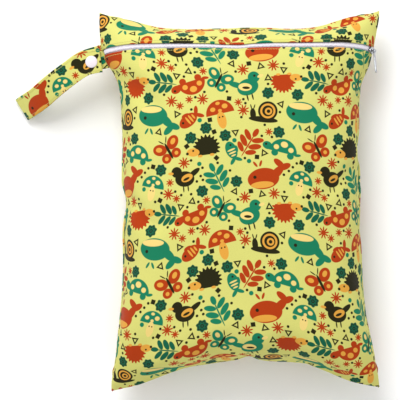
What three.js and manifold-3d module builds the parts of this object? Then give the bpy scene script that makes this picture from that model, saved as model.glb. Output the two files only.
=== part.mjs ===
// A cloth wet bag, stuffed full and lying on its back with its front panel up.
// It is sewn from a back panel, a front panel and a top band, with a coil zip between the last two.
// A strap is sewn into the left seam, folded back on itself and closed with a plastic snap.
// Millimetres. +X is to the right across the front, +Y is towards the top seam and +Z is up.
// The origin is on the surface that the bag lies on, under the middle of the body.

import * as THREE from "three";
import { mergeVertices } from "three/addons/utils/BufferGeometryUtils.js";
import Module from "manifold-3d";

const wasm = await Module();
wasm.setup();

// Body, measured corner to corner along the seams
const BAG_WIDTH = 289;
const BAG_HEIGHT = 390;
const CLOTH = 2; // wall of one panel
const SEAM_LIP = 1.2; // half the thickness of the flat seam at a corner
const SEAM_HEIGHT = 44; // seam above the surface, halfway along each side
const CORNER_DROP = 9; // how far the loose corners sag below that
const CORNER_START = 0.8; // where the sag begins, as a share from the middle to a corner
const FRONT_RISE = 57; // front panel above the seam at the middle
const BACK_RISE = 58; // what the back would fall below the seam with nothing under it
const FLOOR_BLEND = 7; // how gently the back lifts off the surface
const CLEARANCE = 0.3; // between pieces that touch

// How far each seam is drawn in from the straight line between its corners
const TOP_DIP = 19;
const BOTTOM_DIP = 33;
const SIDE_DIP = 20.5;

// Zip
const ZIP_DROP = 43.5; // top seam to the middle of the zip, along the cloth
const ZIP_SLOT = 6; // between the two folded edges of cloth
const TAPE_WIDTH = 11;
const TAPE_THICKNESS = 0.8;
const TAPE_GAP = 0.45; // under the cloth
const TAPE_SPLIT = 2.4; // between the two tapes, under the coil
const TAPE_END = 5; // how far the tapes stop short of the side seams
const COIL_WIDTH = 4.2;
const COIL_THICKNESS = 1.5;

// Slider and pull
const SLIDER_SETBACK = 7; // right seam to the middle of the slider, along the cloth
const SLIDER_LENGTH = 7;
const SLIDER_WIDTH = 6.6;
const SLIDER_WEB = 1.8;
const PLATE_THICKNESS = 1;
const PLATE_BOTTOM = 0.45; // upper plate above the cloth
const LOWER_GAP = 0.8; // lower plate under the tapes
const BAIL_RADIUS = 0.65;
const BAIL_POST = 1.2;
const EYE_WALL = 0.8;
const PULL_LENGTH = 25;
const PULL_WIDTH = 3.8;
const PULL_THICKNESS = 1;
const PULL_HOLE_RADIUS = 0.9;
const PULL_LIFT = 22; // degrees that the pull stands off the cloth

// Strap: its route from the side seam to the fold at its tip
const STRAP_WIDTH = 25;
const STRAP_THICKNESS = 2;
const STRAP_DROP = 49; // top seam to the middle of the strap, along the side seam
const STRAP_REACH = 83; // away from the bag, along X
const STRAP_SLANT = 48; // towards the bottom of the bag, along Y
const STRAP_TAIL = 10; // sewn between the two panels
const STRAP_LEAD = 5; // flat stretch of the lower layer outside the seam
const TAIL_OPENING = 2.8; // where the seam is closed again beside the tail, in half widths of it
const TAIL_DEPTH = 0.3; // where it is closed again inside it, as a share of the half width
const TAIL_BLEND = 0.15; // how softly it closes there
const LOOP_GAP = 9; // widest space between its two layers
const LAYER_SLIP = 3.4; // how far the two layers lie out of line at the seam
const FREE_END = 6; // seam to the strap's free end

// Snap
const SNAP_REACH = 15.5; // side seam to the middle of the snap
const CAP_RADIUS = 6.2;
const CAP_RIM = 0.7;
const CAP_DOME = 1.1;
const RING_RADIUS = 5.2;
const PIN_RADIUS = 1.2;

const HALF_WIDTH = BAG_WIDTH / 2;
const HALF_HEIGHT = BAG_HEIGHT / 2;

// Corners of the body, as shares of its half width and half height
const CORNERS = {
  topLeft: { x: -1.005, y: 1.004 },
  topRight: { x: 0.997, y: 1.014 },
  bottomLeft: { x: -0.92, y: -1.004 },
  bottomRight: { x: 0.998, y: -0.983 },
};

// How far each seam is drawn in at each tenth of its length, as a share of its greatest dip.
// Top and bottom run from left to right, and the two sides run from bottom to top.
const SEAM_DIPS = [
  { top: 0.0, bottom: 0.0, left: 0.0, right: 0.0 },
  { top: 0.38, bottom: 0.2, left: 0.22, right: 0.24 },
  { top: 0.67, bottom: 0.46, left: 0.48, right: 0.59 },
  { top: 0.85, bottom: 0.72, left: 0.69, right: 0.79 },
  { top: 0.96, bottom: 0.92, left: 0.8, right: 0.89 },
  { top: 1.0, bottom: 1.0, left: 0.87, right: 0.94 },
  { top: 0.94, bottom: 0.94, left: 0.85, right: 0.97 },
  { top: 0.87, bottom: 0.77, left: 0.85, right: 0.95 },
  { top: 0.66, bottom: 0.5, left: 0.71, right: 0.77 },
  { top: 0.31, bottom: 0.2, left: 0.1, right: 0.32 },
  { top: 0.0, bottom: 0.0, left: 0.0, right: 0.0 },
];

// Folds that run in from the seams. across and along are cloth shares from -1 to 1, run is the
// direction in degrees from +X, sizes are shares of the half width and depths of the rise.
const FOLDS = [
  { across: -0.8, along: 0.6, run: -35, length: 0.3, breadth: 0.1, depth: 0.12 },
  { across: 0.82, along: 0.62, run: 215, length: 0.26, breadth: 0.09, depth: 0.1 },
  { across: -0.74, along: -0.8, run: 48, length: 0.34, breadth: 0.1, depth: 0.14 },
  { across: 0.76, along: -0.79, run: 130, length: 0.32, breadth: 0.1, depth: 0.14 },
  { across: -0.2, along: -0.86, run: 80, length: 0.2, breadth: 0.08, depth: 0.08 },
  { across: 0.3, along: -0.85, run: 96, length: 0.2, breadth: 0.08, depth: 0.08 },
];

// The strap's route: shares of its reach and slant, its height from the surface (0) to the seam
// (1), the space between its layers as a share of the widest, and how far they are out of line.
const STRAP_ROUTE = [
  { out: 0.0, down: 0.0, height: 1.0, gap: 0.38, slip: 1.0 },
  { out: 0.247, down: 0.088, height: 0.985, gap: 0.38, slip: 0.38 },
  { out: 0.467, down: 0.325, height: 0.915, gap: 0.7, slip: 0.06 },
  { out: 0.663, down: 0.579, height: 0.74, gap: 0.95, slip: 0.0 },
  { out: 0.836, down: 0.823, height: 0.42, gap: 1.0, slip: 0.0 },
  { out: 1.0, down: 1.0, height: 0.0, gap: 0.8, slip: 0.0 },
];

// Roundness of the body across, and along it towards its top and its bottom: 2 is an ellipse,
// and more is boxier
const ROUND_ACROSS = 2.2;
const ROUND_TOP = 3;
const ROUND_BOTTOM = 4.5;

// Cells of the panels' grids
const CELLS_ACROSS = 22;
const CELLS_FRONT = 22;
const CELLS_BAND = 6;

const { clamp, lerp, degToRad } = THREE.MathUtils;

// A value from a table's evenly spaced rows, on a smooth curve through them. share is 0 to 1.
function fromTable(rows, column, share) {
  const place = clamp(share, 0, 1) * (rows.length - 1);
  const first = Math.min(Math.floor(place), rows.length - 2);
  const at = (i) => rows[clamp(i, 0, rows.length - 1)][column];
  const t = place - first;
  const before = at(first - 1);
  const start = at(first);
  const end = at(first + 1);
  const after = at(first + 2);
  const slopeStart = (end - before) / 2;
  const slopeEnd = (after - start) / 2;
  const bend = slopeStart + slopeEnd + 2 * (start - end);
  const pull = 3 * (end - start) - 2 * slopeStart - slopeEnd;
  return start + t * (slopeStart + t * (pull + t * bend));
}

// The side view of a stuffed cloth: a superellipse quarter, walked by its length. It gives the
// plan place and the rise, both 0 to 1, for a share of the cloth from the middle to the seam.
function stuffedProfile(half, rise, roundness) {
  const steps = 400;
  const walked = [{ length: 0, plan: 0, rise: 1 }];
  for (let i = 1; i <= steps; i++) {
    const angle = (i / steps) * (Math.PI / 2);
    const point = {
      plan: Math.sin(angle) ** (2 / roundness),
      rise: Math.max(Math.cos(angle), 0) ** (2 / roundness),
    };
    const last = walked[i - 1];
    const stride = Math.hypot(half * (point.plan - last.plan), rise * (point.rise - last.rise));
    walked.push({ length: last.length + stride, ...point });
  }
  walked[steps].rise = 0;
  const whole = walked[steps].length;
  return (share) => {
    const target = Math.min(Math.abs(share), 1) * whole;
    let low = 0;
    let high = steps;
    while (high - low > 1) {
      const middle = (low + high) >> 1;
      if (walked[middle].length < target) low = middle;
      else high = middle;
    }
    const a = walked[low];
    const b = walked[high];
    const t = (target - a.length) / (b.length - a.length);
    return { plan: Math.sign(share) * lerp(a.plan, b.plan, t), rise: lerp(a.rise, b.rise, t) };
  };
}

const acrossProfile = stuffedProfile(HALF_WIDTH - SIDE_DIP, FRONT_RISE, ROUND_ACROSS);
const [bottomProfile, topProfile] = [ROUND_BOTTOM, ROUND_TOP].map((roundness) =>
  stuffedProfile(HALF_HEIGHT - (TOP_DIP + BOTTOM_DIP) / 2, FRONT_RISE, roundness),
);
const alongProfile = (share) => (share < 0 ? bottomProfile(share) : topProfile(share));

// A seam's place between two corners, drawn in towards the middle of the bag
function seamPlace(from, to, axis, size, column, dip, share) {
  const t = (share + 1) / 2;
  return lerp(CORNERS[from][axis], CORNERS[to][axis], t) * size + dip * fromTable(SEAM_DIPS, column, t);
}

const leftSeam = (along) =>
  seamPlace("bottomLeft", "topLeft", "x", HALF_WIDTH, "left", SIDE_DIP, along);
const rightSeam = (along) =>
  seamPlace("bottomRight", "topRight", "x", HALF_WIDTH, "right", -SIDE_DIP, along);
const topSeam = (across) =>
  seamPlace("topLeft", "topRight", "y", HALF_HEIGHT, "top", -TOP_DIP, across);
const bottomSeam = (across) =>
  seamPlace("bottomLeft", "bottomRight", "y", HALF_HEIGHT, "bottom", BOTTOM_DIP, across);

// Height of the surface in which the front and back panels meet
function seamHeight(across, along) {
  const towardsCorner = Math.max(Math.abs(across * along) - CORNER_START, 0);
  return SEAM_HEIGHT - CORNER_DROP * (towardsCorner / (1 - CORNER_START)) ** 2;
}

function foldDepth(across, along) {
  let depth = 0;
  for (const fold of FOLDS) {
    const run = degToRad(fold.run);
    const dx = across - fold.across;
    const dy = ((along - fold.along) * HALF_HEIGHT) / HALF_WIDTH;
    const forward = (dx * Math.cos(run) + dy * Math.sin(run)) / fold.length;
    const aside = (dy * Math.cos(run) - dx * Math.sin(run)) / fold.breadth;
    depth += fold.depth * Math.exp(-forward * forward - aside * aside);
  }
  return depth;
}

// Outer face of the stuffed body, with its height taken from the seam. across and along are
// shares of the cloth, from -1 to 1.
function faceAt(across, along, side) {
  const wide = acrossProfile(across);
  const tall = alongProfile(along);
  const planX = lerp(across, wide.plan, Math.sqrt(tall.rise));
  const planY = lerp(along, tall.plan, wide.rise);
  const x = lerp(leftSeam(along), rightSeam(along), (planX + 1) / 2);
  const y = lerp(bottomSeam(across), topSeam(across), (planY + 1) / 2);
  const swell = wide.rise * tall.rise;
  if (side === "front") {
    const rise = FRONT_RISE * swell * (1 - foldDepth(across, along));
    return new THREE.Vector3(x, y, SEAM_LIP + rise);
  }
  const seam = seamHeight(across, along);
  return new THREE.Vector3(x, y, restOnFloor(seam - SEAM_LIP - BACK_RISE * swell) - seam);
}

// Bends a height that falls below the surface smoothly into the flat patch on it
function restOnFloor(height) {
  if (height >= FLOOR_BLEND) return height;
  if (height <= -FLOOR_BLEND) return 0;
  return (height + FLOOR_BLEND) ** 2 / (4 * FLOOR_BLEND);
}

// Outward direction of the body's face
function faceNormal(across, along, side) {
  const step = 0.004;
  const left = Math.max(across - step, -1);
  const right = Math.min(across + step, 1);
  const low = Math.max(along - step, -1);
  const high = Math.min(along + step, 1);
  const alongX = faceAt(right, along, side).sub(faceAt(left, along, side));
  const alongY = faceAt(across, high, side).sub(faceAt(across, low, side));
  const normal = alongX.cross(alongY).normalize();
  return side === "front" ? normal : normal.negate();
}

// A point at a depth under the body's outer face, or above it if the depth is negative
function underFace(across, along, side, depth) {
  return faceAt(across, along, side).addScaledVector(faceNormal(across, along, side), -depth);
}

// Sets a point whose height is taken from the seam to its place above the surface
function raise(point, across, along) {
  return point.setZ(point.z + seamHeight(across, along));
}

// A place on the front, at a depth under it
function frontPoint(across, along, depth = 0) {
  return raise(underFace(across, along, "front", depth), across, along);
}

// Shares from one end to the other, closer together near the seams at -1 and 1
function gridShares(from, to, cells) {
  const uneven = (t) => (t + Math.sin((t * Math.PI) / 2)) / 2;
  const even = (share) => {
    let t = share;
    for (let i = 0; i < 20; i++) t += share - uneven(t);
    return t;
  };
  const start = even(from);
  const end = even(to);
  return Array.from({ length: cells + 1 }, (_, i) => clamp(uneven(lerp(start, end, i / cells)), from, to));
}

// The closed shell between two grids of points and the loop between their borders.
// outer, inner and border take a column and a row, and outer is seen with columns turning
// counterclockwise into rows.
function shellBetween(columns, rows, outer, inner, border) {
  const vertices = [];
  const index = [];
  const add = (point) => vertices.push(point.x, point.y, point.z) / 3 - 1;
  const layer = (pointAt) =>
    Array.from({ length: columns + 1 }, (_, i) =>
      Array.from({ length: rows + 1 }, (_, j) => add(pointAt(i, j))),
    );
  const quad = (a, b, c, d) => index.push(a, b, c, a, c, d);
  const over = layer(outer);
  const under = layer(inner);
  for (let i = 0; i < columns; i++)
    for (let j = 0; j < rows; j++) {
      quad(over[i][j], over[i + 1][j], over[i + 1][j + 1], over[i][j + 1]);
      quad(under[i][j], under[i][j + 1], under[i + 1][j + 1], under[i + 1][j]);
    }
  const loop = [];
  for (let i = 0; i < columns; i++) loop.push([i, 0]);
  for (let j = 0; j < rows; j++) loop.push([columns, j]);
  for (let i = columns; i > 0; i--) loop.push([i, rows]);
  for (let j = rows; j > 0; j--) loop.push([0, j]);
  const between = loop.map(([i, j]) => add(border(i, j)));
  loop.forEach(([i, j], n) => {
    const next = (n + 1) % loop.length;
    const [nextI, nextJ] = loop[next];
    quad(over[i][j], between[n], between[next], over[nextI][nextJ]);
    quad(between[n], under[i][j], under[nextI][nextJ], between[next]);
  });
  const geometry = new THREE.BufferGeometry();
  geometry.setAttribute("position", new THREE.Float32BufferAttribute(vertices, 3));
  geometry.setIndex(index);
  return geometry;
}

const ZIP_LINE = 1 - ZIP_DROP / HALF_HEIGHT;
const SLOT_SHARE = ZIP_SLOT / 2 / HALF_HEIGHT;
const TAPE_SHARE = (TAPE_SPLIT / 2 + TAPE_WIDTH) / HALF_HEIGHT;
const STRAP_LINE = 1 - STRAP_DROP / HALF_HEIGHT;

// Half the space between the front and back panels in the seam. It opens where the strap's
// tail is sewn in.
function seamSpace(across, along) {
  const open = STRAP_THICKNESS / 2 + CLEARANCE;
  const reach = (STRAP_WIDTH + LAYER_SLIP) / 2 / HALF_HEIGHT;
  const past = Math.abs(along - STRAP_LINE) / reach;
  const beside = clamp(TAIL_OPENING - past, 0, 1);
  const inside = clamp((TAIL_DEPTH - 1 - across) / TAIL_BLEND, 0, 1);
  return lerp(CLEARANCE / 2, open, beside * inside);
}

const columnShares = gridShares(-1, 1, CELLS_ACROSS);
const frontRows = [...gridShares(-1, ZIP_LINE - TAPE_SHARE, CELLS_FRONT - 1), ZIP_LINE - SLOT_SHARE];
const bandRows = [ZIP_LINE + SLOT_SHARE, ...gridShares(ZIP_LINE + TAPE_SHARE, 1, CELLS_BAND - 1)];
const backRows = [...frontRows, ...bandRows];

// One sewn panel: a cloth wall that ends in a flat lip along the seams. Front and back share
// their rows and diagonals, so that the two lips match.
function panel(side, rowShares) {
  const up = side === "front" ? 1 : -1;
  const cells = rowShares.length - 1;
  const lipEdge = SEAM_LIP - CLEARANCE / 2;
  const layer = (pointAt) => (i, j) => {
    const [across, along] = [columnShares[i], rowShares[j]];
    const onSeam = Math.abs(across) === 1 || Math.abs(along) === 1;
    const point = pointAt(across, along, up * seamSpace(across, along), onSeam);
    return raise(point, across, along);
  };
  const atLeast = (point, height) => point.setZ(up * Math.max(up * point.z, up * height));
  const outer = (across, along, lip) => atLeast(faceAt(across, along, side), lip + up * lipEdge);
  const inner = (across, along, lip, onSeam) => {
    const point = underFace(across, along, side, CLOTH);
    return onSeam ? point.setZ(lip) : atLeast(point, lip);
  };
  const border = (across, along, lip, onSeam) => {
    const point = outer(across, along, lip);
    if (onSeam) return point.setZ(lip + (up * lipEdge) / 2);
    return point.lerp(inner(across, along, lip, false), 0.5);
  };
  const [over, under, between] = [outer, inner, border].map(layer);
  if (side === "front") return shellBetween(CELLS_ACROSS, cells, over, under, between);
  const turn = (pointAt) => (i, j) => pointAt(j, i);
  return shellBetween(cells, CELLS_ACROSS, turn(over), turn(under), turn(between));
}

// A strip that runs across the front at a depth under its face, in the zip's slot. It bends
// where the panels do.
function zipStrip({ low, high, top, thickness, from, to }) {
  const alongAt = [low, high].map((offset) => ZIP_LINE + offset / HALF_HEIGHT);
  const margin = TAPE_END / 2 / ZIP_HALF_LENGTH;
  const inside = columnShares.filter((share) => share > from + margin && share < to - margin);
  const acrossAt = [from, ...inside, to];
  const cells = acrossAt.length - 1;
  const at = (depth) => (i, j) => frontPoint(acrossAt[i], alongAt[j], depth);
  return shellBetween(cells, 1, at(top), at(top + thickness), at(top + thickness / 2));
}

// Half the length of the cloth along the zip, and the place of a point near the right seam
const ZIP_HALF_LENGTH = (() => {
  let length = 0;
  const steps = 200;
  for (let i = 0; i < steps; i++) {
    const here = frontPoint(i / steps, ZIP_LINE);
    length += here.distanceTo(frontPoint((i + 1) / steps, ZIP_LINE));
  }
  return length;
})();
const fromSeam = (distance) => 1 - distance / ZIP_HALF_LENGTH;

// Turns geometry into a solid for joining and cutting, and back
function toSolid(geometry) {
  const bare = geometry.clone();
  bare.deleteAttribute("normal");
  bare.deleteAttribute("uv");
  const merged = mergeVertices(bare, 1e-4);
  return new wasm.Manifold(
    new wasm.Mesh({
      numProp: 3,
      vertProperties: new Float32Array(merged.attributes.position.array),
      triVerts: new Uint32Array(merged.index.array),
    }),
  );
}

function toGeometry(solid) {
  const mesh = solid.getMesh();
  const geometry = new THREE.BufferGeometry();
  geometry.setAttribute("position", new THREE.BufferAttribute(mesh.vertProperties, mesh.numProp));
  geometry.setIndex(new THREE.BufferAttribute(mesh.triVerts, 1));
  return geometry;
}

const join = (geometries) => toGeometry(geometries.map(toSolid).reduce((a, b) => a.add(b)));
const cut = (geometry, tools) =>
  toGeometry(tools.map(toSolid).reduce((a, b) => a.subtract(b), toSolid(geometry)));

// A cylinder along local X
function rodAlongX(radius, length, sides) {
  return new THREE.CylinderGeometry(radius, radius, length, sides).rotateZ(Math.PI / 2);
}

// The slider's own frame: X along the zip to the right, Y across it towards the top, Z outwards
const sliderAt = fromSeam(SLIDER_SETBACK);
const sliderFrame = (() => {
  const out = faceNormal(sliderAt, ZIP_LINE, "front");
  const ahead = frontPoint(sliderAt + 0.005, ZIP_LINE);
  const along = ahead.sub(frontPoint(sliderAt - 0.005, ZIP_LINE)).normalize();
  const aside = new THREE.Vector3().crossVectors(out, along).normalize();
  return new THREE.Matrix4()
    .makeBasis(along, aside, out)
    .setPosition(frontPoint(sliderAt, ZIP_LINE));
})();

const TAPE_TOP = CLOTH + TAPE_GAP;
const PLATE_TOP = PLATE_BOTTOM + PLATE_THICKNESS;
const LOWER_PLATE_TOP = -(TAPE_TOP + TAPE_THICKNESS + LOWER_GAP);
const EYE_INNER = BAIL_RADIUS + CLEARANCE;
const EYE_OUTER = EYE_INNER + EYE_WALL;
const BAIL_HEIGHT = PLATE_TOP + CLEARANCE + EYE_OUTER;

function box(x, y, z, width, depth, height) {
  return new THREE.BoxGeometry(width, depth, height).translate(x, y, z);
}

function slider() {
  const plate = (middle) => box(0, 0, middle, SLIDER_LENGTH, SLIDER_WIDTH, PLATE_THICKNESS);
  const webBottom = LOWER_PLATE_TOP - PLATE_THICKNESS / 2;
  const webTop = PLATE_BOTTOM + PLATE_THICKNESS / 2;
  const postAt = (SLIDER_LENGTH - BAIL_POST) / 2;
  const postHeight = BAIL_HEIGHT + BAIL_RADIUS - webTop;
  const post = (end) =>
    box(end * postAt, 0, webTop + postHeight / 2, BAIL_POST, 2 * BAIL_RADIUS, postHeight);
  return join([
    plate(PLATE_BOTTOM + PLATE_THICKNESS / 2),
    plate(LOWER_PLATE_TOP - PLATE_THICKNESS / 2),
    box(0, 0, (webBottom + webTop) / 2, SLIDER_LENGTH / 2, SLIDER_WEB, webTop - webBottom),
    post(-1),
    post(1),
    rodAlongX(BAIL_RADIUS, 2 * postAt, 10).translate(0, 0, BAIL_HEIGHT),
  ]);
}

// The pull turns on the slider's bail. It is made round the bail's axis, pointing along -Y.
function pull() {
  const eyeLength = SLIDER_LENGTH - 2 * BAIL_POST - 2 * CLEARANCE;
  const tip = PULL_WIDTH / 2;
  const outline = new THREE.Shape();
  outline.moveTo(-eyeLength / 2, -EYE_INNER);
  outline.lineTo(-tip, -PULL_LENGTH / 2);
  outline.lineTo(-tip, -PULL_LENGTH + tip);
  outline.absarc(0, -PULL_LENGTH + tip, tip, Math.PI, 2 * Math.PI, false);
  outline.lineTo(tip, -PULL_LENGTH / 2);
  outline.lineTo(eyeLength / 2, -EYE_INNER);
  const hole = new THREE.Path();
  hole.absarc(0, -PULL_LENGTH + tip, PULL_HOLE_RADIUS, 0, 2 * Math.PI, true);
  outline.holes.push(hole);
  const tab = new THREE.ExtrudeGeometry(outline, {
    depth: PULL_THICKNESS,
    bevelEnabled: false,
    curveSegments: 8,
  }).translate(0, 0, -PULL_THICKNESS / 2);
  return cut(join([tab, rodAlongX(EYE_OUTER, eyeLength, 16)]), [
    rodAlongX(EYE_INNER, 2 * eyeLength, 16),
  ]);
}

// The strap runs from the side seam at share 0 to the fold at its tip at share 1. This is the
// spacing between the middle planes of its two layers.
function layerSpacing(share) {
  return LOOP_GAP * fromTable(STRAP_ROUTE, "gap", share) + STRAP_THICKNESS;
}

// The middle line between the strap's two layers, and its directions there
const strapStart = frontPoint(-1, STRAP_LINE);
const strapSeamHeight = seamHeight(-1, STRAP_LINE);
const strapRootHeight = strapSeamHeight + layerSpacing(0) / 2;
const strapTipHeight = (layerSpacing(1) + STRAP_THICKNESS) / 2;

function strapMiddle(share) {
  return new THREE.Vector3(
    strapStart.x - STRAP_REACH * fromTable(STRAP_ROUTE, "out", share),
    strapStart.y - STRAP_SLANT * fromTable(STRAP_ROUTE, "down", share),
    lerp(strapTipHeight, strapRootHeight, fromTable(STRAP_ROUTE, "height", share)),
  );
}

function strapFrame(share) {
  const step = 0.01;
  const along = strapMiddle(Math.min(share + step, 1)).sub(strapMiddle(Math.max(share - step, 0)));
  along.normalize();
  const wide = new THREE.Vector3(along.y, -along.x, 0).normalize();
  return { middle: strapMiddle(share), along, wide, up: wide.clone().cross(along) };
}

// A station of the strap: its middle, the direction of its width, and the direction off its face
function layerStation(share, layer) {
  const { middle, wide, up } = strapFrame(share);
  const slip = layer < 0 ? LAYER_SLIP * fromTable(STRAP_ROUTE, "slip", share) : 0;
  middle.addScaledVector(up, (layer * layerSpacing(share)) / 2).addScaledVector(wide, slip);
  return { middle, wide, face: up.clone().multiplyScalar(-layer) };
}

const strapLength = (() => {
  let length = 0;
  const steps = 100;
  for (let i = 0; i < steps; i++)
    length += strapMiddle(i / steps).distanceTo(strapMiddle((i + 1) / steps));
  return length;
})();
const strapShare = (distance) => distance / strapLength;

// The tail in the seam, the lower layer out to the tip, the round fold, and the upper layer back
// to the free end
function strapStations() {
  const cells = 14;
  const foldCells = 8;
  const stations = [];
  const root = layerStation(0, -1);
  const { along: outwards } = strapFrame(0);
  const intoSeam = new THREE.Vector3(-outwards.x, -outwards.y, 0).normalize();
  for (const depth of [STRAP_TAIL, -STRAP_LEAD]) {
    const middle = root.middle.clone().addScaledVector(intoSeam, depth).setZ(strapSeamHeight);
    stations.push({ middle, wide: root.wide, face: new THREE.Vector3(0, 0, 1) });
  }
  const leadEnd = strapShare(STRAP_LEAD);
  for (let i = 1; i <= cells; i++)
    stations.push(layerStation(lerp(leadEnd, 1, i / cells), -1));
  const { middle, along, wide, up } = strapFrame(1);
  for (let i = 1; i < foldCells; i++) {
    const turn = (i / foldCells) * Math.PI;
    const spoke = up
      .clone()
      .multiplyScalar(-Math.cos(turn))
      .addScaledVector(along, Math.sin(turn));
    stations.push({
      middle: middle.clone().addScaledVector(spoke, layerSpacing(1) / 2),
      wide,
      face: spoke.clone().negate(),
    });
  }
  const last = strapShare(FREE_END);
  for (let i = cells; i >= 0; i--) stations.push(layerStation(lerp(last, 1, i / cells), 1));
  return stations;
}

function strap() {
  const stations = strapStations();
  const at = (offset) => (i, j) => {
    const { middle, wide, face } = stations[i];
    return middle
      .clone()
      .addScaledVector(wide, (j - 1) * (STRAP_WIDTH / 2))
      .addScaledVector(face, offset);
  };
  const half = STRAP_THICKNESS / 2;
  const band = shellBetween(stations.length - 1, 2, at(-half), at(half), at(0));
  const hole = new THREE.CylinderGeometry(
    PIN_RADIUS + CLEARANCE,
    PIN_RADIUS + CLEARANCE,
    4 * LOOP_GAP,
    12,
  ).rotateX(Math.PI / 2);
  return cut(band, [hole.applyMatrix4(snapFrame)]);
}

// The snap's own frame: Z off the strap's upper face, and the origin midway between its layers
const snapFrame = (() => {
  const { middle, along, wide, up } = strapFrame(strapShare(SNAP_REACH));
  return new THREE.Matrix4().makeBasis(wide, along, up).setPosition(middle);
})();
const snapSpacing = layerSpacing(strapShare(SNAP_REACH));
const SNAP_SIDES = 24;

// A turned piece about local Z, from pairs of radius and height that start and end on the axis
const turned = (profile) =>
  new THREE.LatheGeometry(
    profile.map(([radius, height]) => new THREE.Vector2(radius, height)),
    SNAP_SIDES,
  ).rotateX(Math.PI / 2);

// The domed cap outside one layer, with its pin through the cloth
function snapCap() {
  const foot = (snapSpacing + STRAP_THICKNESS) / 2 + CLEARANCE;
  const pinEnd = CLEARANCE;
  const dome = [0, 0.25, 0.5, 0.75, 1].map((t) => {
    const angle = (t * Math.PI) / 2;
    return [CAP_RADIUS * Math.cos(angle), foot + CAP_RIM + CAP_DOME * Math.sin(angle)];
  });
  dome[dome.length - 1][0] = 0;
  return turned([[0, pinEnd], [PIN_RADIUS, pinEnd], [PIN_RADIUS, foot], [CAP_RADIUS, foot], ...dome]);
}

// The socket or stud inside one layer: a plain ring round the pin
function snapRing() {
  const top = (snapSpacing - STRAP_THICKNESS) / 2 - CLEARANCE;
  const bottom = CLEARANCE / 2;
  const bore = PIN_RADIUS + CLEARANCE;
  return turned([
    [bore, bottom],
    [RING_RADIUS, bottom],
    [RING_RADIUS, top],
    [bore, top],
    [bore, bottom],
  ]);
}

const materials = {
  cloth: new THREE.MeshStandardMaterial({ color: 0xe2db84, roughness: 0.8 }),
  tape: new THREE.MeshStandardMaterial({ color: 0xf2f0f0, roughness: 0.75 }),
  coil: new THREE.MeshStandardMaterial({ color: 0xf5f3f5, roughness: 0.4 }),
  metal: new THREE.MeshStandardMaterial({ color: 0xc9cbd0, roughness: 0.35, metalness: 0.8 }),
  snap: new THREE.MeshStandardMaterial({ color: 0xf6f4f8, roughness: 0.25 }),
};

const bag = new THREE.Group();

function addPiece(parent, name, geometry, material) {
  const mesh = new THREE.Mesh(geometry, material);
  mesh.name = name;
  parent.add(mesh);
  return mesh;
}

// A group that stands in its own frame on the bag
function addFrame(matrix) {
  const group = new THREE.Group();
  group.applyMatrix4(matrix);
  bag.add(group);
  return group;
}

addPiece(bag, "back_panel", panel("back", backRows), materials.cloth);
addPiece(bag, "front_panel", panel("front", frontRows), materials.cloth);
addPiece(bag, "top_band", panel("front", bandRows), materials.cloth);

const tapeSpan = { from: -fromSeam(TAPE_END), to: fromSeam(TAPE_END) };
const tapeDepth = { top: TAPE_TOP, thickness: TAPE_THICKNESS };
const tapeNear = TAPE_SPLIT / 2;
const tapeFar = tapeNear + TAPE_WIDTH;
const lowerTape = zipStrip({ low: -tapeFar, high: -tapeNear, ...tapeDepth, ...tapeSpan });
const upperTape = zipStrip({ low: tapeNear, high: tapeFar, ...tapeDepth, ...tapeSpan });
const coil = zipStrip({
  low: -COIL_WIDTH / 2,
  high: COIL_WIDTH / 2,
  top: TAPE_TOP - CLEARANCE - COIL_THICKNESS,
  thickness: COIL_THICKNESS,
  from: tapeSpan.from,
  to: fromSeam(SLIDER_SETBACK + SLIDER_LENGTH / 2 + CLEARANCE),
});
addPiece(bag, "zip_tape_lower", lowerTape, materials.tape);
addPiece(bag, "zip_tape_upper", upperTape, materials.tape);
addPiece(bag, "zip_coil", coil, materials.coil);

const onZip = addFrame(sliderFrame);
addPiece(onZip, "zip_slider", slider(), materials.metal);
const zipPull = addPiece(onZip, "zip_pull", pull(), materials.metal);
zipPull.position.z = BAIL_HEIGHT;
zipPull.rotation.x = -degToRad(PULL_LIFT);

addPiece(bag, "strap", strap(), materials.cloth);
const onStrap = addFrame(snapFrame);
addPiece(onStrap, "snap_cap", snapCap(), materials.snap);
addPiece(onStrap, "snap_socket", snapRing(), materials.snap);
const stud = addPiece(onStrap, "snap_stud", snapRing(), materials.snap);
const backCap = addPiece(onStrap, "snap_back_cap", snapCap(), materials.snap);
stud.rotation.x = Math.PI;
backCap.rotation.x = Math.PI;

export default bag;
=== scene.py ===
"""A stuffed cloth wet bag that lies on a pale floor, seen from straight above."""

import functools
import math
from collections import namedtuple

import bmesh
import bpy
import numpy as np
from mathutils import Matrix, Vector


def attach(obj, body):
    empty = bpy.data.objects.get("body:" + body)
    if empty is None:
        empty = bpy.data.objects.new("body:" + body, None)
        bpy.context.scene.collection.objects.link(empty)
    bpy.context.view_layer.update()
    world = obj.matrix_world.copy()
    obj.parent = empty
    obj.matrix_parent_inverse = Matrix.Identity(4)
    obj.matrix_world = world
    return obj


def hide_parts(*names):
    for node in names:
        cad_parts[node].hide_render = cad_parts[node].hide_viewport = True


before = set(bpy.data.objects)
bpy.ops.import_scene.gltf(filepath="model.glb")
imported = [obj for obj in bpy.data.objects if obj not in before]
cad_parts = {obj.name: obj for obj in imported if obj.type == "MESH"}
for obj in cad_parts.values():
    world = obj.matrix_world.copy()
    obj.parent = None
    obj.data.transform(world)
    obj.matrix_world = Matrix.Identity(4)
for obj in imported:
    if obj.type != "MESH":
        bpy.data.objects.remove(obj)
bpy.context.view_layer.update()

MM = 0.001

# Camera: straight above, at the photograph's framing
VIEW_WIDTH = 0.412  # across the picture, at the height of the seam
VIEW_MIDDLE = (-0.0412, 0.0021)
CAMERA_RISE = 4.0
SENSOR = 36.0

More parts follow.
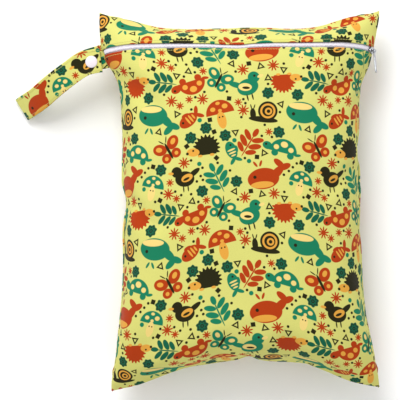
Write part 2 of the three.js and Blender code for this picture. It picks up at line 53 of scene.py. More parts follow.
# Body, in metres. The shape is the frame's own, and everything on it follows body().
BAG_WIDTH = 0.289
BAG_HEIGHT = 0.390
SEAM_LIP = 0.0012
SEAM_HEIGHT = 0.044
CORNER_DROP = 0.009
CORNER_START = 0.8
FRONT_RISE = 0.057
BACK_RISE = 0.058
FLOOR_BLEND = 0.007
TOP_DIP = 0.019
BOTTOM_DIP = 0.033
SIDE_DIP = 0.0205
ROUND_ACROSS = 2.2
ROUND_TOP = 3.0
ROUND_BOTTOM = 4.5
HALF_WIDTH = BAG_WIDTH / 2
HALF_HEIGHT = BAG_HEIGHT / 2
CLOTH = 0.8 * MM
CURVE_ACROSS = 1.2  # about how much longer the curved cloth is than its plan
CURVE_ALONG = 1.1
SEAM_ROLL = 1.8 * MM  # how far the cloth turns in at the seam
SEAM_PUFF = 0.4 * MM  # how far it swells past the seam beside it
PUFF_REACH = 20 * MM

# Zip
ZIP_DROP = 0.0435
ZIP_SLOT = 0.006
ZIP_LINE = 1 - ZIP_DROP / HALF_HEIGHT
SLOT_SHARE = ZIP_SLOT / 2 / HALF_HEIGHT
HEM = 1.0 * MM  # radius of the fold along the slot
HEM_WIDTH = 5 * MM
STITCH_INSET = 2.6 * MM
TAPE_WIDTH = 0.011
TAPE_TOP = 2.3 * MM
TAPE_THICKNESS = 0.6 * MM
COIL_WIDTH = 4.2 * MM
COIL_THICKNESS = 1.4 * MM
COIL_PITCH = 1.27 * MM
END_GAP = 5 * MM  # the tapes and the coil stop this far from the side seams

# Slider and pull
SLIDER_SETBACK = 7 * MM
SLIDER_LENGTH = 7 * MM
SLIDER_WIDTH = 6.6 * MM
PLATE = 1.0 * MM
PLATE_BOTTOM = 0.45 * MM
LOWER_PLATE = 4.55 * MM
BAIL_RADIUS = 0.65 * MM
BAIL_POST = 1.2 * MM
EYE_INNER = 0.95 * MM
EYE_OUTER = 1.75 * MM
BAIL_HEIGHT = 3.5 * MM
PULL_LENGTH = 25 * MM
PULL_WIDTH = 3.8 * MM
PULL_THICKNESS = 1.0 * MM
PULL_HOLE = 0.9 * MM
PULL_LIFT = 22.0

# Strap
STRAP_WIDTH = 0.025
STRAP_THICKNESS = 1.9 * MM
STRAP_DROP = 0.049
STRAP_REACH = 0.083
STRAP_SLANT = 0.048
STRAP_TAIL = 0.010
STRAP_LEAD = 0.005
LOOP_GAP = 0.009
LAYER_SLIP = 3.4 * MM
FREE_END = 0.006
STRAP_LINE = 1 - STRAP_DROP / HALF_HEIGHT
LAYER = 2 * MM  # one layer of the strap, as the frame spaces them

# Snap
SNAP_REACH = 0.0155
CAP_RADIUS = 6.2 * MM
RING_RADIUS = 5.2 * MM
PIN_RADIUS = 1.2 * MM
SNAP_GAP = 0.3 * MM

# Corners of the body, as shares of its half width and half height
CORNERS = {
    "top_left": (-1.005, 1.004),
    "top_right": (0.997, 1.014),
    "bottom_left": (-0.92, -1.004),
    "bottom_right": (0.998, -0.983),
}

# How far each seam is drawn in at each tenth of its length, as shares of its greatest dip.
# Top and bottom run from left to right, and the two sides run from bottom to top.
SEAM_DIPS = {
    "top": (0.0, 0.38, 0.67, 0.85, 0.96, 1.0, 0.94, 0.87, 0.66, 0.31, 0.0),
    "bottom": (0.0, 0.2, 0.46, 0.72, 0.92, 1.0, 0.94, 0.77, 0.5, 0.2, 0.0),
    "left": (0.0, 0.22, 0.48, 0.69, 0.8, 0.87, 0.85, 0.85, 0.71, 0.1, 0.0),
    "right": (0.0, 0.24, 0.59, 0.79, 0.89, 0.94, 0.97, 0.95, 0.77, 0.32, 0.0),
}

# Folds that run in from the seams: cloth shares, degrees, and shares of the half width or rise
Fold = namedtuple("Fold", "across along run length breadth depth")
FOLDS = [
    Fold(-0.8, 0.6, -35, 0.3, 0.1, 0.12),
    Fold(0.82, 0.62, 215, 0.26, 0.09, 0.1),
    Fold(-0.74, -0.8, 48, 0.34, 0.1, 0.14),
    Fold(0.76, -0.79, 130, 0.32, 0.1, 0.14),
    Fold(-0.2, -0.86, 80, 0.2, 0.08, 0.08),
    Fold(0.3, -0.85, 96, 0.2, 0.08, 0.08),
]

# The strap's route: shares of its reach and slant, its height from the floor (0) to the seam
# (1), the space between its layers as a share of the widest, and how far they are out of line
Station = namedtuple("Station", "out down height gap slip")
STRAP_ROUTE = [
    Station(0.0, 0.0, 1.0, 0.38, 1.0),
    Station(0.247, 0.088, 0.985, 0.38, 0.38),
    Station(0.467, 0.325, 0.915, 0.7, 0.06),
    Station(0.663, 0.579, 0.74, 0.95, 0.0),
    Station(0.836, 0.823, 0.42, 1.0, 0.0),
    Station(1.0, 1.0, 0.0, 0.8, 0.0),
]


def from_table(column, share):
    """A column's value on a smooth curve through its evenly spaced rows."""
    rows = np.array(column)
    place = np.clip(share, 0, 1) * (len(rows) - 1)
    first = np.minimum(np.asarray(place).astype(int), len(rows) - 2)
    t = place - first
    start = rows[first]
    end = rows[first + 1]
    before = rows[np.maximum(first - 1, 0)]
    after = rows[np.minimum(first + 2, len(rows) - 1)]
    slope_start = (end - before) / 2
    slope_end = (after - start) / 2
    bend = slope_start + slope_end + 2 * (start - end)
    pull = 3 * (end - start) - 2 * slope_start - slope_end
    return start + t * (slope_start + t * (pull + t * bend))


def stuffed_profile(half, rise, roundness):
    """The plan place and the rise, both 0 to 1, for a share of the cloth from middle to seam."""
    angle = np.linspace(0, math.pi / 2, 401)
    plan = np.sin(angle) ** (2 / roundness)
    up = np.maximum(np.cos(angle), 0) ** (2 / roundness)
    up[-1] = 0
    stride = np.hypot(half * np.diff(plan), rise * np.diff(up))
    walked = np.concatenate([[0], np.cumsum(stride)])
    walked /= walked[-1]

    def at(share):
        size = np.minimum(np.abs(share), 1)
        return np.sign(share) * np.interp(size, walked, plan), np.interp(size, walked, up)

    return at


across_profile = stuffed_profile(HALF_WIDTH - SIDE_DIP, FRONT_RISE, ROUND_ACROSS)
bottom_profile, top_profile = (
    stuffed_profile(HALF_HEIGHT - (TOP_DIP + BOTTOM_DIP) / 2, FRONT_RISE, roundness)
    for roundness in (ROUND_BOTTOM, ROUND_TOP)
)


def along_profile(share):
    return [np.where(share < 0, low, high) for low, high in zip(bottom_profile(share), top_profile(share))]


def mix(a, b, t):
    return a + (b - a) * t


def smooth(low, high, value):
    t = np.clip((value - low) / (high - low), 0, 1)
    return t * t * (3 - 2 * t)


def seam_place(start, end, axis, half, side, dip, share):
    """A seam's place between two corners, drawn in towards the middle of the bag."""
    t = (share + 1) / 2
    line = mix(CORNERS[start][axis], CORNERS[end][axis], t) * half
    return line + dip * from_table(SEAM_DIPS[side], t)


def seam_height(across, along):
    towards_corner = np.maximum(np.abs(across * along) - CORNER_START, 0)
    return SEAM_HEIGHT - CORNER_DROP * (towards_corner / (1 - CORNER_START)) ** 2


def fold_depth(across, along):
    depth = 0
    for fold in FOLDS:
        run = math.radians(fold.run)
        dx = across - fold.across
        dy = (along - fold.along) * HALF_HEIGHT / HALF_WIDTH
        forward = (dx * math.cos(run) + dy * math.sin(run)) / fold.length
        aside = (dy * math.cos(run) - dx * math.sin(run)) / fold.breadth
        depth = depth + fold.depth * np.exp(-forward * forward - aside * aside)
    return depth


def ripple(share, seed):
    """A slow uneven wave from about -1 to 1, from a few sines that never line up."""
    total = 0
    for turns, phase, size in ((11, 0.3, 0.5), (17.7, 2.1, 0.6), (29.3, 4.4, 0.5), (43.1, 1.2, 0.25)):
        total = total + size * np.sin(share * turns * 1.9 + phase + seed * 1.7)
    return total / 1.3


def seam_distances(across, along):
    """Rough distances along the cloth to the side seams and to the seams at top and bottom."""
    to_side = (1 - np.abs(across)) * HALF_WIDTH * CURVE_ACROSS
    to_end = (1 - np.abs(along)) * HALF_HEIGHT * CURVE_ALONG
    return to_side, to_end


def pucker(across, along, side):
    """How far the sewn seams draw the cloth in and out beside them, in metres."""
    to_side, to_end = seam_distances(across, along)
    seed = 0.0 if side == "front" else 5.0

    def beside(distance, reach):
        t = distance / reach
        return t * np.exp(1 - t) * np.exp(-t * 0.35)

    sides = ripple(along * 1.9, seed + np.where(across > 0, 1.0, 2.0)) * beside(to_side, 5 * MM)
    ends = ripple(across * 1.5, seed + np.where(along > 0, 3.0, 4.0)) * beside(to_end, 5 * MM)
    corner = smooth(0.0, 0.02, np.minimum(to_side, to_end))
    return 0.75 * MM * (sides + ends) * (0.35 + 0.65 * corner)


SIM_ACROSS = 56
SIM_ALONG = 76
SIM_PRESSURE = 4.0
SIM_FRAMES = 20
RELIEF_CAP = 4.5 * MM  # the most that the simulation may lift or sink the cloth
RELIEF_BLUR = 4  # cells: broader forms than this stay the frame's own
relief = {"front": np.zeros((4, 4)), "back": np.zeros((4, 4))}


def on_grid(grid, across, along):
    """A grid's value at shares of the cloth, on a smooth surface through its points."""
    total = 0
    places = []
    for share, count in ((across, grid.shape[0]), (along, grid.shape[1])):
        place = (np.asarray(share) + 1) / 2 * (count - 1)
        first = np.clip(np.floor(place).astype(int), 0, count - 2)
        t = place - first
        weights = ((1 - t) ** 3, 3 * t**3 - 6 * t**2 + 4, 3 * t * (1 + t - t * t) + 1, t**3)
        places.append([(np.clip(first + i - 1, 0, count - 1), w / 6) for i, w in enumerate(weights)])
    for column, wide in places[0]:
        for row, tall in places[1]:
            total = total + grid[column, row] * wide * tall
    return total


def blurred(grid, cells):
    """The grid without what is narrower than some cells."""
    reach = np.arange(-3 * cells, 3 * cells + 1)
    weights = np.exp(-((reach / cells) ** 2) / 2)
    weights /= weights.sum()
    for axis in (0, 1):
        padded = np.pad(grid, [(3 * cells,) * 2 if axis == i else (0, 0) for i in (0, 1)], mode="edge")
        grid = np.apply_along_axis(np.convolve, axis, padded, weights, mode="valid")
    return grid


def pillow():
    """Front and back sewn together, as an object with the flat cloth as its rest shape."""
    shares = (np.linspace(-1, 1, cells + 1) for cells in (SIM_ACROSS, SIM_ALONG))
    across, along = grid = np.meshgrid(*shares, indexing="ij")
    front_index = np.arange(across.size).reshape(across.shape)
    inside = (np.abs(across) < 1) & (np.abs(along) < 1)
    back_index = front_index.copy()
    back_index[inside] = across.size + np.arange(inside.sum())
    upper = plain_face(across, along, "front")
    lower = plain_face(across, along, "back")
    points = np.concatenate([upper.reshape(-1, 3), lower[inside]])
    lift = (1 - across**2) * (1 - along**2) * MM
    flat_front = np.stack([across * HALF_WIDTH, along * HALF_HEIGHT, SEAM_HEIGHT + lift], -1)
    flat_back = np.stack([across * HALF_WIDTH, along * HALF_HEIGHT, SEAM_HEIGHT - lift], -1)
    flat = np.concatenate([flat_front.reshape(-1, 3), flat_back[inside]])
    faces = []
    for index, turned in ((front_index, False), (back_index, True)):
        quads = [index[:-1, :-1], index[1:, :-1], index[1:, 1:], index[:-1, 1:]]
        quads = np.stack(quads[::-1] if turned else quads, -1)
        faces += quads.reshape(-1, 4).tolist()
    mesh = bpy.data.meshes.new("pillow")
    mesh.from_pydata(points.tolist(), [], faces)
    piece = bpy.data.objects.new("pillow", mesh)
    bpy.context.collection.objects.link(piece)
    piece.shape_key_add(name="stuffed")
    key = piece.shape_key_add(name="flat")
    key.data.foreach_set("co", flat.ravel())
    return piece, points, {"front": front_index, "back": back_index}, grid


def simulate_cloth():
    """Puts pressure in the sewn cloth, with its flat pattern as its rest shape, and keeps the folds."""
    piece, points, index, (across, along) = pillow()
    cloth = piece.modifiers.new("cloth", "CLOTH").settings
    cloth.quality = 6
    cloth.mass = 0.2
    cloth.tension_stiffness = 25
    cloth.compression_stiffness = 25
    cloth.shear_stiffness = 8
    cloth.bending_stiffness = 0.4
    cloth.use_pressure = True
    cloth.uniform_pressure_force = SIM_PRESSURE
    cloth.effector_weights.gravity = 0
    cloth.rest_shape_key = piece.data.shape_keys.key_blocks["flat"]
    for number in range(1, SIM_FRAMES + 1):
        bpy.context.scene.frame_set(number)
    seen = piece.evaluated_get(bpy.context.evaluated_depsgraph_get())
    moved_points = np.zeros(len(points) * 3)
    seen.data.vertices.foreach_get("co", moved_points)
    shift = moved_points.reshape(-1, 3) - points
    for side in ("front", "back"):
        normal = normal_of(plain_face, across, along, side)
        lift = (shift[index[side]] * normal).sum(-1)
        lift -= blurred(lift, RELIEF_BLUR)
        relief[side] = RELIEF_CAP * np.tanh(lift / RELIEF_CAP)
    bpy.context.scene.frame_set(1)
    mesh = piece.data
    bpy.data.objects.remove(piece)
    bpy.data.meshes.remove(mesh)


def rest_on_floor(height):
    bent = (height + FLOOR_BLEND) ** 2 / (4 * FLOOR_BLEND)
    return np.where(height >= FLOOR_BLEND, height, np.where(height <= -FLOOR_BLEND, 0, bent))


def plain_face(across, along, side):
    """Outer face of the body, before the cloth's small forms. Arrays of shares give points."""
    wide, wide_rise = across_profile(across)
    tall, tall_rise = along_profile(along)
    plan_x = mix(across, wide, np.sqrt(tall_rise))
    plan_y = mix(along, tall, wide_rise)
    left = seam_place("bottom_left", "top_left", 0, HALF_WIDTH, "left", SIDE_DIP, along)
    right = seam_place("bottom_right", "top_right", 0, HALF_WIDTH, "right", -SIDE_DIP, along)
    top = seam_place("top_left", "top_right", 1, HALF_HEIGHT, "top", -TOP_DIP, across)
    bottom = seam_place("bottom_left", "bottom_right", 1, HALF_HEIGHT, "bottom", BOTTOM_DIP, across)
    x = mix(left, right, (plan_x + 1) / 2)
    y = mix(bottom, top, (plan_y + 1) / 2)
    seam = seam_height(across, along)
    swell = wide_rise * tall_rise
    if side == "front":
        z = seam + SEAM_LIP + FRONT_RISE * swell * (1 - fold_depth(across, along))
    else:
        z = rest_on_floor(seam - SEAM_LIP - BACK_RISE * swell)
    return np.stack(np.broadcast_arrays(x, y, z), -1)


def normal_of(face, across, along, side):
    step = 0.003
    left, right = np.maximum(across - step, -1), np.minimum(across + step, 1)
    low, high = np.maximum(along - step, -1), np.minimum(along + step, 1)
    along_x = face(right, along, side) - face(left, along, side)
    along_y = face(across, high, side) - face(across, low, side)
    normal = np.cross(along_x, along_y)
    normal /= np.maximum(np.linalg.norm(normal, axis=-1, keepdims=True), 1e-12)
    return normal if side == "front" else -normal


def face(across, along, side):
    """Outer face of the body with its puckers, which fade where the bag rests."""
    points = plain_face(across, along, side)
    normal = normal_of(plain_face, across, along, side)
    depth = pucker(across, along, side) + on_grid(relief[side], across, along)
    from_slider = np.hypot(*(points[..., axis] - SLIDER_AT[axis] for axis in (0, 1)))
    depth = depth * smooth(0.012, 0.04, from_slider)
    if side == "back":
        depth = depth * smooth(0.002, 0.014, points[..., 2])
    return points + normal * np.asarray(depth)[..., None]


def turned_in(points, across, along, side):
    """The face with its last stretch before each seam turned in, and puffed out as much before it."""
    up = 1 if side == "front" else -1
    to_side, to_end = seam_distances(across, along)
    points = points.copy()
    away = smooth(0, PUFF_REACH, np.maximum(to_side, to_end))  # 0 at the corners
    for axis, share, distance in ((0, across, to_side), (1, along, to_end)):
        t = np.clip(1 - distance / SEAM_ROLL, 0, 1)
        puff = SEAM_PUFF * away * (1 - smooth(SEAM_ROLL, PUFF_REACH, distance))
        points[..., axis] += np.sign(share) * (puff - SEAM_ROLL * (1 - np.sqrt(np.maximum(1 - t * t, 0))))
    t = np.clip(1 - np.minimum(to_side, to_end) / SEAM_ROLL, 0, 1)
    flat = seam_height(across, along) + up * 0.1 * MM
    points[..., 2] = mix(points[..., 2], flat, t * t)
    return points


def under(across, along, side, depth):
    """A point at a depth under the outer face."""
    across, along = np.broadcast_arrays(np.asarray(across, float), np.asarray(along, float))
    points = turned_in(face(across, along, side), across, along, side)
    normal = normal_of(plain_face, across, along, side)
    return points - normal * np.asarray(depth)[..., None]


def spread_shares(start, end, cells):
    """Shares from start to end, closer together near the seams at -1 and 1."""

    def uneven(t):
        return 0.3 * t + 0.7 * np.sin(t * math.pi / 2)

    table = np.linspace(-1, 1, 2001)
    even = np.interp([start, end], uneven(table), table)
    shares = uneven(np.linspace(even[0], even[1], cells + 1))
    shares[0], shares[-1] = start, end
    return shares


def zip_half_length():
    walk = np.linspace(0, 1, 400)
    points = plain_face(walk, np.full_like(walk, ZIP_LINE), "front")
    return float(np.linalg.norm(np.diff(points, axis=0), axis=1).sum())


ZIP_HALF = zip_half_length()


def from_seam(distance):
    return 1 - distance / ZIP_HALF


SLIDER_AT = plain_face(np.array(from_seam(SLIDER_SETBACK)), np.array(ZIP_LINE), "front")
simulate_cloth()


# Materials


def srgb(red, green, blue):
    """A linear colour from 0 to 255 display values."""
    values = []
    for value in (red, green, blue):
        value /= 255
        values.append(value / 12.92 if value <= 0.04045 else ((value + 0.055) / 1.055) ** 2.4)
    return (*values, 1.0)


# Inks of the print. ground is the cloth's own colour.
GROUND = srgb(202, 200, 110)
INKS = {
    "slate": srgb(13, 88, 62),
    "teal": srgb(19, 116, 82),
    "rust": srgb(166, 54, 6),
    "ink": srgb(33, 31, 6),
    "amber": srgb(213, 153, 59),
    "cream": srgb(226, 199, 118),
    "dark": srgb(33, 31, 6),
}
INK_EDGE = 0.22  # how soft a printed edge is, in millimetres


def math_node(operation, *values):
    """What a node works out from numbers and Values."""
    tree = next(value.tree for value in values if isinstance(value, Value))
    node = tree.nodes.new("ShaderNodeMath")
    node.operation = operation
    for socket, value in zip(node.inputs, values):
        if isinstance(value, Value):
            tree.links.new(value.socket, socket)
        else:
            socket.default_value = value
    return Value(tree, node.outputs[0])


class Value:
    """A number in a material's node tree, which is used in formulas like a number."""

    def __init__(self, tree, socket):
        self.tree = tree
        self.socket = socket

    def __add__(self, other):
        return math_node("ADD", self, other)

    def __sub__(self, other):
        return math_node("SUBTRACT", self, other)

    def __rsub__(self, other):
        return math_node("SUBTRACT", other, self)

    def __mul__(self, other):
        return math_node("MULTIPLY", self, other)

    def __neg__(self):
        return self * -1.0

    def __abs__(self):
        return math_node("ABSOLUTE", self)

    def least(self, other):
        return math_node("MINIMUM", self, other)

    def most(self, other):
        return math_node("MAXIMUM", self, other)

    def cosine(self):
        return math_node("COSINE", self)

    def inverse(self):
        return math_node("DIVIDE", 1.0, self)


class Place:
    """A point in a material's node tree."""

    def __init__(self, tree, socket):
        self.tree = tree
        self.socket = socket

    def vector(self, operation, *others, scale=None):
        node = self.tree.nodes.new("ShaderNodeVectorMath")
        node.operation = operation
        self.tree.links.new(self.socket, node.inputs[0])
        for place, value in enumerate(others, 1):
            node.inputs[place].default_value = value
        if isinstance(scale, Value):
            self.tree.links.new(scale.socket, node.inputs["Scale"])
        elif scale is not None:
            node.inputs["Scale"].default_value = scale
        return node

    def motif(self, item):
        """Distances to the layers of a motif, by name."""
        node = self.tree.nodes.new("ShaderNodeGroup")
        node.node_tree = motif_group(item.motif)
        self.tree.links.new(self.socket, node.inputs["Place"])
        flip = -1 if item.mirrored else 1
        cosine = math.cos(math.radians(item.turn)) / item.size
        sine = math.sin(math.radians(item.turn)) / item.size
        node.inputs["Middle"].default_value = (item.x, item.y, 0)
        node.inputs["Right"].default_value = (flip * cosine, flip * sine, 0)
        node.inputs["Up"].default_value = (-sine, cosine, 0)
        return {output.name: Value(self.tree, output) for output in node.outputs}

    def fitted(self, x, y, wide, tall):
        """The place measured from (x, y), in units of wide and tall."""
        node = self.vector("MULTIPLY_ADD", (1 / wide, 1 / tall, 0), (-x / wide, -y / tall, 0))
        return Place(self.tree, node.outputs[0])

    def along(self, x, y):
        """How far the place lies in a direction. No node here changes a vector's kind, because
        Cycles would then keep every motif's place at once and run out of room."""
        return Value(self.tree, self.vector("DOT_PRODUCT", (x, y, 0)).outputs["Value"])

    def turned(self, degrees):
        cosine, sine = math.cos(math.radians(degrees)), math.sin(math.radians(degrees))
        return place_of(self.along(cosine, -sine), self.along(sine, cosine))

    def length(self):
        return Value(self.tree, self.vector("LENGTH").outputs["Value"])

    def angle(self):
        x, y = self.parts()
        return math_node("ARCTAN2", x, y)

    def parts(self):
        return self.along(1, 0), self.along(0, 1)


def place_of(x, y):
    node = x.tree.nodes.new("ShaderNodeCombineXYZ")
    x.tree.links.new(x.socket, node.inputs[0])
    x.tree.links.new(y.socket, node.inputs[1])
    return Place(x.tree, node.outputs[0])


# The print, in millimetres on the flat cloth. A form is an oval, or a triangle or a square where
# it has corners. above cuts it off below that height, hole leaves its middle open, and points
# and spike wave its outline.
FORM_FIELDS = "x y wide tall turn above hole points spike corners"
Form = namedtuple("Form", FORM_FIELDS, defaults=(0, None, 0, 0, 0, 0))


def pair(x, y, wide, tall, turn=0):
    """A form and its mirror image."""
    return [(x, y, wide, tall, turn), (-x, y, wide, tall, -turn)]


MOTIFS = {
    "whale": {
        "body": [
            (-2, -1, 10.5, 7), (7.6, 1.6, 6, 2.7, 38), (10.2, 7.4, 2.1, 4.2, 40), (13.4, 4.8, 2.1, 4.2, -75),
            (-5.4, 9.2, 0.8, 2.2, 28), (-1.8, 9.2, 0.8, 2.2, -28),
        ],
        "accent": [(-3.6, -4.9, 7.6, 2.2, -4)],
        "dark": [(-7.4, 0.8, 1.1, 1.1)],
    },
    "bird": {
        "body": [(0.4, -1, 8.4, 6.6, -6), (8.8, 3, 6.2, 2.3, 32), (-6, 5.6, 4.6, 4.6)],
        "accent": [(-11.2, 5.2, 2.4, 1.2, -8), (2.4, -0.4, 5.2, 3.1, 18)],
        "dark": [
            (1.8, -1.2, 3, 1.1, 18), (-6.8, 6.6, 0.95, 0.95), (-1.4, -9.4, 0.6, 2.8),
            (2.6, -9.2, 0.6, 2.8),
        ],
    },
    "butterfly": {
        "body": pair(6.2, 4, 6, 4.6, 35) + pair(4.6, -5, 4.2, 4),
        "accent": pair(6.8, 4.6, 2.7, 1.9, 35) + pair(4.8, -5.2, 1.6, 1.6),
        "dark": [(0, -0.5, 1.2, 7.4), *pair(2.3, 8.8, 0.5, 2.8, -32)],
    },
    "sprig": {
        "body": [
            *pair(5, 6, 5.2, 2.3, 35), *pair(5.6, 0, 5.6, 2.5, 35), *pair(5, -6, 4.8, 2.2, 35),
            (0, 10.8, 2.3, 4), (0, -1.5, 0.65, 11.5),
        ],
    },
    "mushroom": {
        "accent": [
            (0, -4.6, 3.3, 6.4), (-4.8, 4.4, 1.9, 1.6), (4.2, 5.2, 2.1, 1.8), (-0.4, 8.2, 1.6, 1.2),
            (0.2, 2.6, 1.4, 1.2),
        ],
        "body": [(0, 0.2, 10.4, 10.4, 0, 0.2)],
        "dark": pair(1.2, -2.2, 0.6, 0.6),
    },
    "turtle": {
        "body": [
            (0, -3.8, 10.6, 10.6, 0, -3.8), (12.4, -0.8, 3.8, 3, 12), *pair(6, -5, 2.6, 2.5),
            (-11.2, -3, 2.6, 1.1, -15),
        ],
        "accent": [(0, 2.6, 2.7, 2.3), *pair(5.6, -0.4, 2, 1.9)],
        "dark": [(13.6, 0, 0.9, 0.9)],
    },
    "snail": {
        "body": [
            (2, 1.4, 8, 8), (-1, -6, 12, 2.5), (-9.8, -2.4, 2.4, 5, 12), (-12, 3.6, 0.5, 2.2, 20),
            (-9.4, 3.8, 0.5, 2.2, -10),
        ],
        "accent": [(2, 1.4, 6.2, 6.2, 0, None, 0.74), (2.6, 1.2, 3, 3, 0, None, 0.5)],
        "dark": [(-10.2, -1, 0.7, 0.7)],
    },
    "fish": {
        "body": [(-2, 0, 9.4, 5.8), (9.2, 2.8, 4.6, 1.9, 52), (9.2, -2.8, 4.6, 1.9, -52), (-1, 5, 4, 2, -14)],
        "accent": [(-2.2, 0, 0.9, 4.2), (1, 0, 0.9, 4), (4, 0, 0.8, 2.6)],
        "dark": [(-7.2, 1.2, 1.1, 1.1)],
    },
    "hedgehog": {
        "body": [(1.5, -1, 9.4, 9.4, 0, -6.2, 0, 19, 0.11)],
        "accent": [(-9, -3, 4.8, 3.1, -8), (-4, -6.6, 1.8, 1), (5, -6.6, 1.8, 1)],
        "dark": [(-8.8, -1.8, 0.8, 0.8), (-13.4, -3.4, 1.1, 1.1)],
    },
    "dot": {"ink": [Form(0, 0, 1.35, 1.35)]},
    "teal_dot": {"teal": [Form(0, 0, 2.2, 2.2)]},
    "square": {"ink": [Form(0, 0, 2.2, 2.2, corners=4)]},
    "triangle": {"ink": [Form(0, 0, 2.3, 2.3, hole=0.42, corners=3)]},
    "daisy": {"rust": [Form(0, 0, 4.1, 4.1, points=9, spike=0.45)]},
    "small_daisy": {"rust": [Form(0, 0, 2.9, 2.9, points=8, spike=0.4)]},
    "rosette": {
        "slate": [Form(0, 0, 5.6, 5.6, points=7, spike=0.1)],
        "dark": [Form(0, 0, 4.4, 4.4, hole=0.8, points=7, spike=0.16), Form(0, 0, 1.7, 1.7, hole=0.5)],
    },
}

# One repeat of the print: large and small motifs, turned all ways
TILE = (148.0, 128.0)
Placement = namedtuple("Placement", "motif ink x y turn size mirrored", defaults=(False,))
PLACEMENTS = [Placement(*row) for row in (
    ("whale", "rust", 24, 17, 10, 1.5),
    ("mushroom", "teal", 58, 12, -14, 1.15),
    ("bird", "ink", 91, 19, 4, 1.15),
    ("sprig", "teal", 124, 16, 24, 1.15),
    ("sprig", "rust", 8, 50, -32, 1.15),
    ("turtle", "teal", 42, 46, -12, 1.3, True),
    ("butterfly", "rust", 76, 47, 28, 1.2),
    ("hedgehog", "ink", 112, 48, 5, 1.3),
    ("fish", "teal", 139, 42, -68, 0.95),
    ("snail", "ink", 24, 81, -6, 1.2),
    ("whale", "teal", 63, 80, 172, 1.5, True),
    ("fish", "rust", 98, 76, 38, 1.05),
    ("mushroom", "rust", 128, 80, 12, 1.35),
    ("bird", "teal", 7, 108, 14, 1.25, True),
    ("hedgehog", "rust", 43, 112, 186, 1.2),
    ("sprig", "slate", 73, 113, 80, 1.0),
    ("turtle", "rust", 101, 109, -164, 1.3),
    ("butterfly", "teal", 127, 114, -28, 1.1),
)]

# What fills the ground between them, from the largest to the smallest, each with the room it
# takes and how many a repeat has
FILLERS = [
    ("rosette", 6.8, 9),
    ("daisy", 6.2, 7),
    ("triangle", 4.6, 11),
    ("small_daisy", 4.4, 7),
    ("square", 3.4, 9),
    ("teal_dot", 3.0, 5),
    ("dot", 2.3, 34),
]


class Numbers(np.ndarray):
    """Distances on the flat cloth, with a Value's methods."""

    def least(self, other):
        return np.minimum(self, other)

    def most(self, other):
        return np.maximum(self, other)

    def cosine(self):
        return np.cos(self)

    def inverse(self):
        return 1 / self.most(1e-6)


class Spots:
    """Points of the flat cloth, with a Place's methods."""

    def __init__(self, x, y):
        self.x, self.y = (np.asarray(value, float).view(Numbers) for value in (x, y))

    def in_repeat(self, x, y):
        """The place in the repeat round (x, y), measured from there."""
        parts = []
        for value, middle, size in ((self.x, x, TILE[0]), (self.y, y, TILE[1])):
            parts.append((value - middle + size / 2) % size - size / 2)
        return Spots(*parts)

    def motif(self, item):
        """Distances to the layers of a motif, by name."""
        flip = -1 if item.mirrored else 1
        local = self.in_repeat(item.x, item.y).turned(-item.turn)
        return motif_distances(local.fitted(0, 0, item.size * flip, item.size), item.motif)

    def fitted(self, x, y, wide, tall):
        return Spots((self.x - x) / wide, (self.y - y) / tall)

    def turned(self, degrees):
        cosine, sine = math.cos(math.radians(degrees)), math.sin(math.radians(degrees))
        return Spots(self.x * cosine - self.y * sine, self.x * sine + self.y * cosine)

    def length(self):
        return np.hypot(self.x, self.y)

    def angle(self):
        return np.arctan2(self.x, self.y)

    def parts(self):
        return self.x, self.y


def corner_reach(place, corners):
    """How far out a place is, with 1 on the edge of a triangle or a square."""
    x, y = place.parts()
    if corners == 4:
        return abs(x).most(abs(y))
    return (abs(x) * 0.866 + y * 0.5).most(-y)


def form_distance(place, form):
    """Rough distance to a form's edge, below 0 inside."""
    size = min(form.wide, form.tall)
    if form.turn:
        fitted = place.fitted(form.x, form.y, 1, 1).turned(-form.turn).fitted(0, 0, form.wide, form.tall)
    else:
        fitted = place.fitted(form.x, form.y, form.wide, form.tall)
    reach = fitted.length()
    if form.corners:
        reach = corner_reach(fitted, form.corners)
    if form.points:
        reach = reach - (fitted.angle() * form.points).cosine() * form.spike
    scale = size
    if max(form.wide, form.tall) > 1.5 * size:
        # An oval's edge is as soft at its ends as along its sides
        scale = reach * fitted.fitted(0, 0, form.wide, form.tall).length().inverse()
    distance = (reach - 1.0) * scale
    if form.hole:
        distance = distance.most(form.hole * size - reach * size)
    if form.above is not None:
        distance = distance.most(form.above - place.parts()[1])
    return distance


def motif_distances(place, motif):
    layers = {}
    for layer, forms in MOTIFS[motif].items():
        distances = [form_distance(place, Form(*form)) for form in forms]
        layers[layer] = functools.reduce(lambda near, other: near.least(other), distances)
    return layers


@functools.cache
def motif_group(name):
    """A node group that gives the distances to one motif's layers, wherever it is placed."""
    tree = bpy.data.node_groups.new("motif_" + name, "ShaderNodeTree")
    for socket in ("Place", "Middle", "Right", "Up"):
        tree.interface.new_socket(socket, in_out="INPUT", socket_type="NodeSocketVector")
    given = tree.nodes.new("NodeGroupInput")
    place = Place(tree, given.outputs["Place"]).vector("SUBTRACT")
    tree.links.new(given.outputs["Middle"], place.inputs[1])
    half = (TILE[0] / 2, TILE[1] / 2, 1)
    wrapped = Place(tree, place.outputs[0]).vector("WRAP", half, tuple(-size for size in half))
    parts = []
    for axis in ("Right", "Up"):
        part = Place(tree, wrapped.outputs[0]).vector("DOT_PRODUCT")
        tree.links.new(given.outputs[axis], part.inputs[1])
        parts.append(Value(tree, part.outputs["Value"]))
    local = place_of(*parts)
    result = tree.nodes.new("NodeGroupOutput")
    for layer, distance in motif_distances(local, name).items():
        tree.interface.new_socket(layer, in_out="OUTPUT", socket_type="NodeSocketFloat")
        tree.links.new(distance.socket, result.inputs[layer])
    return tree


def print_layers(place, placements):
    """Distances to all that is printed in each ink."""
    layers = {}
    for item in placements:
        for layer, distance in place.motif(item).items():
            name = {"body": item.ink, "accent": ACCENTS.get(item.ink)}.get(layer, layer)
            distance = distance * item.size
            layers[name] = layers[name].least(distance) if name in layers else distance
    return layers


ACCENTS = {"rust": "amber", "ink": "amber", "teal": "cream", "slate": "cream"}


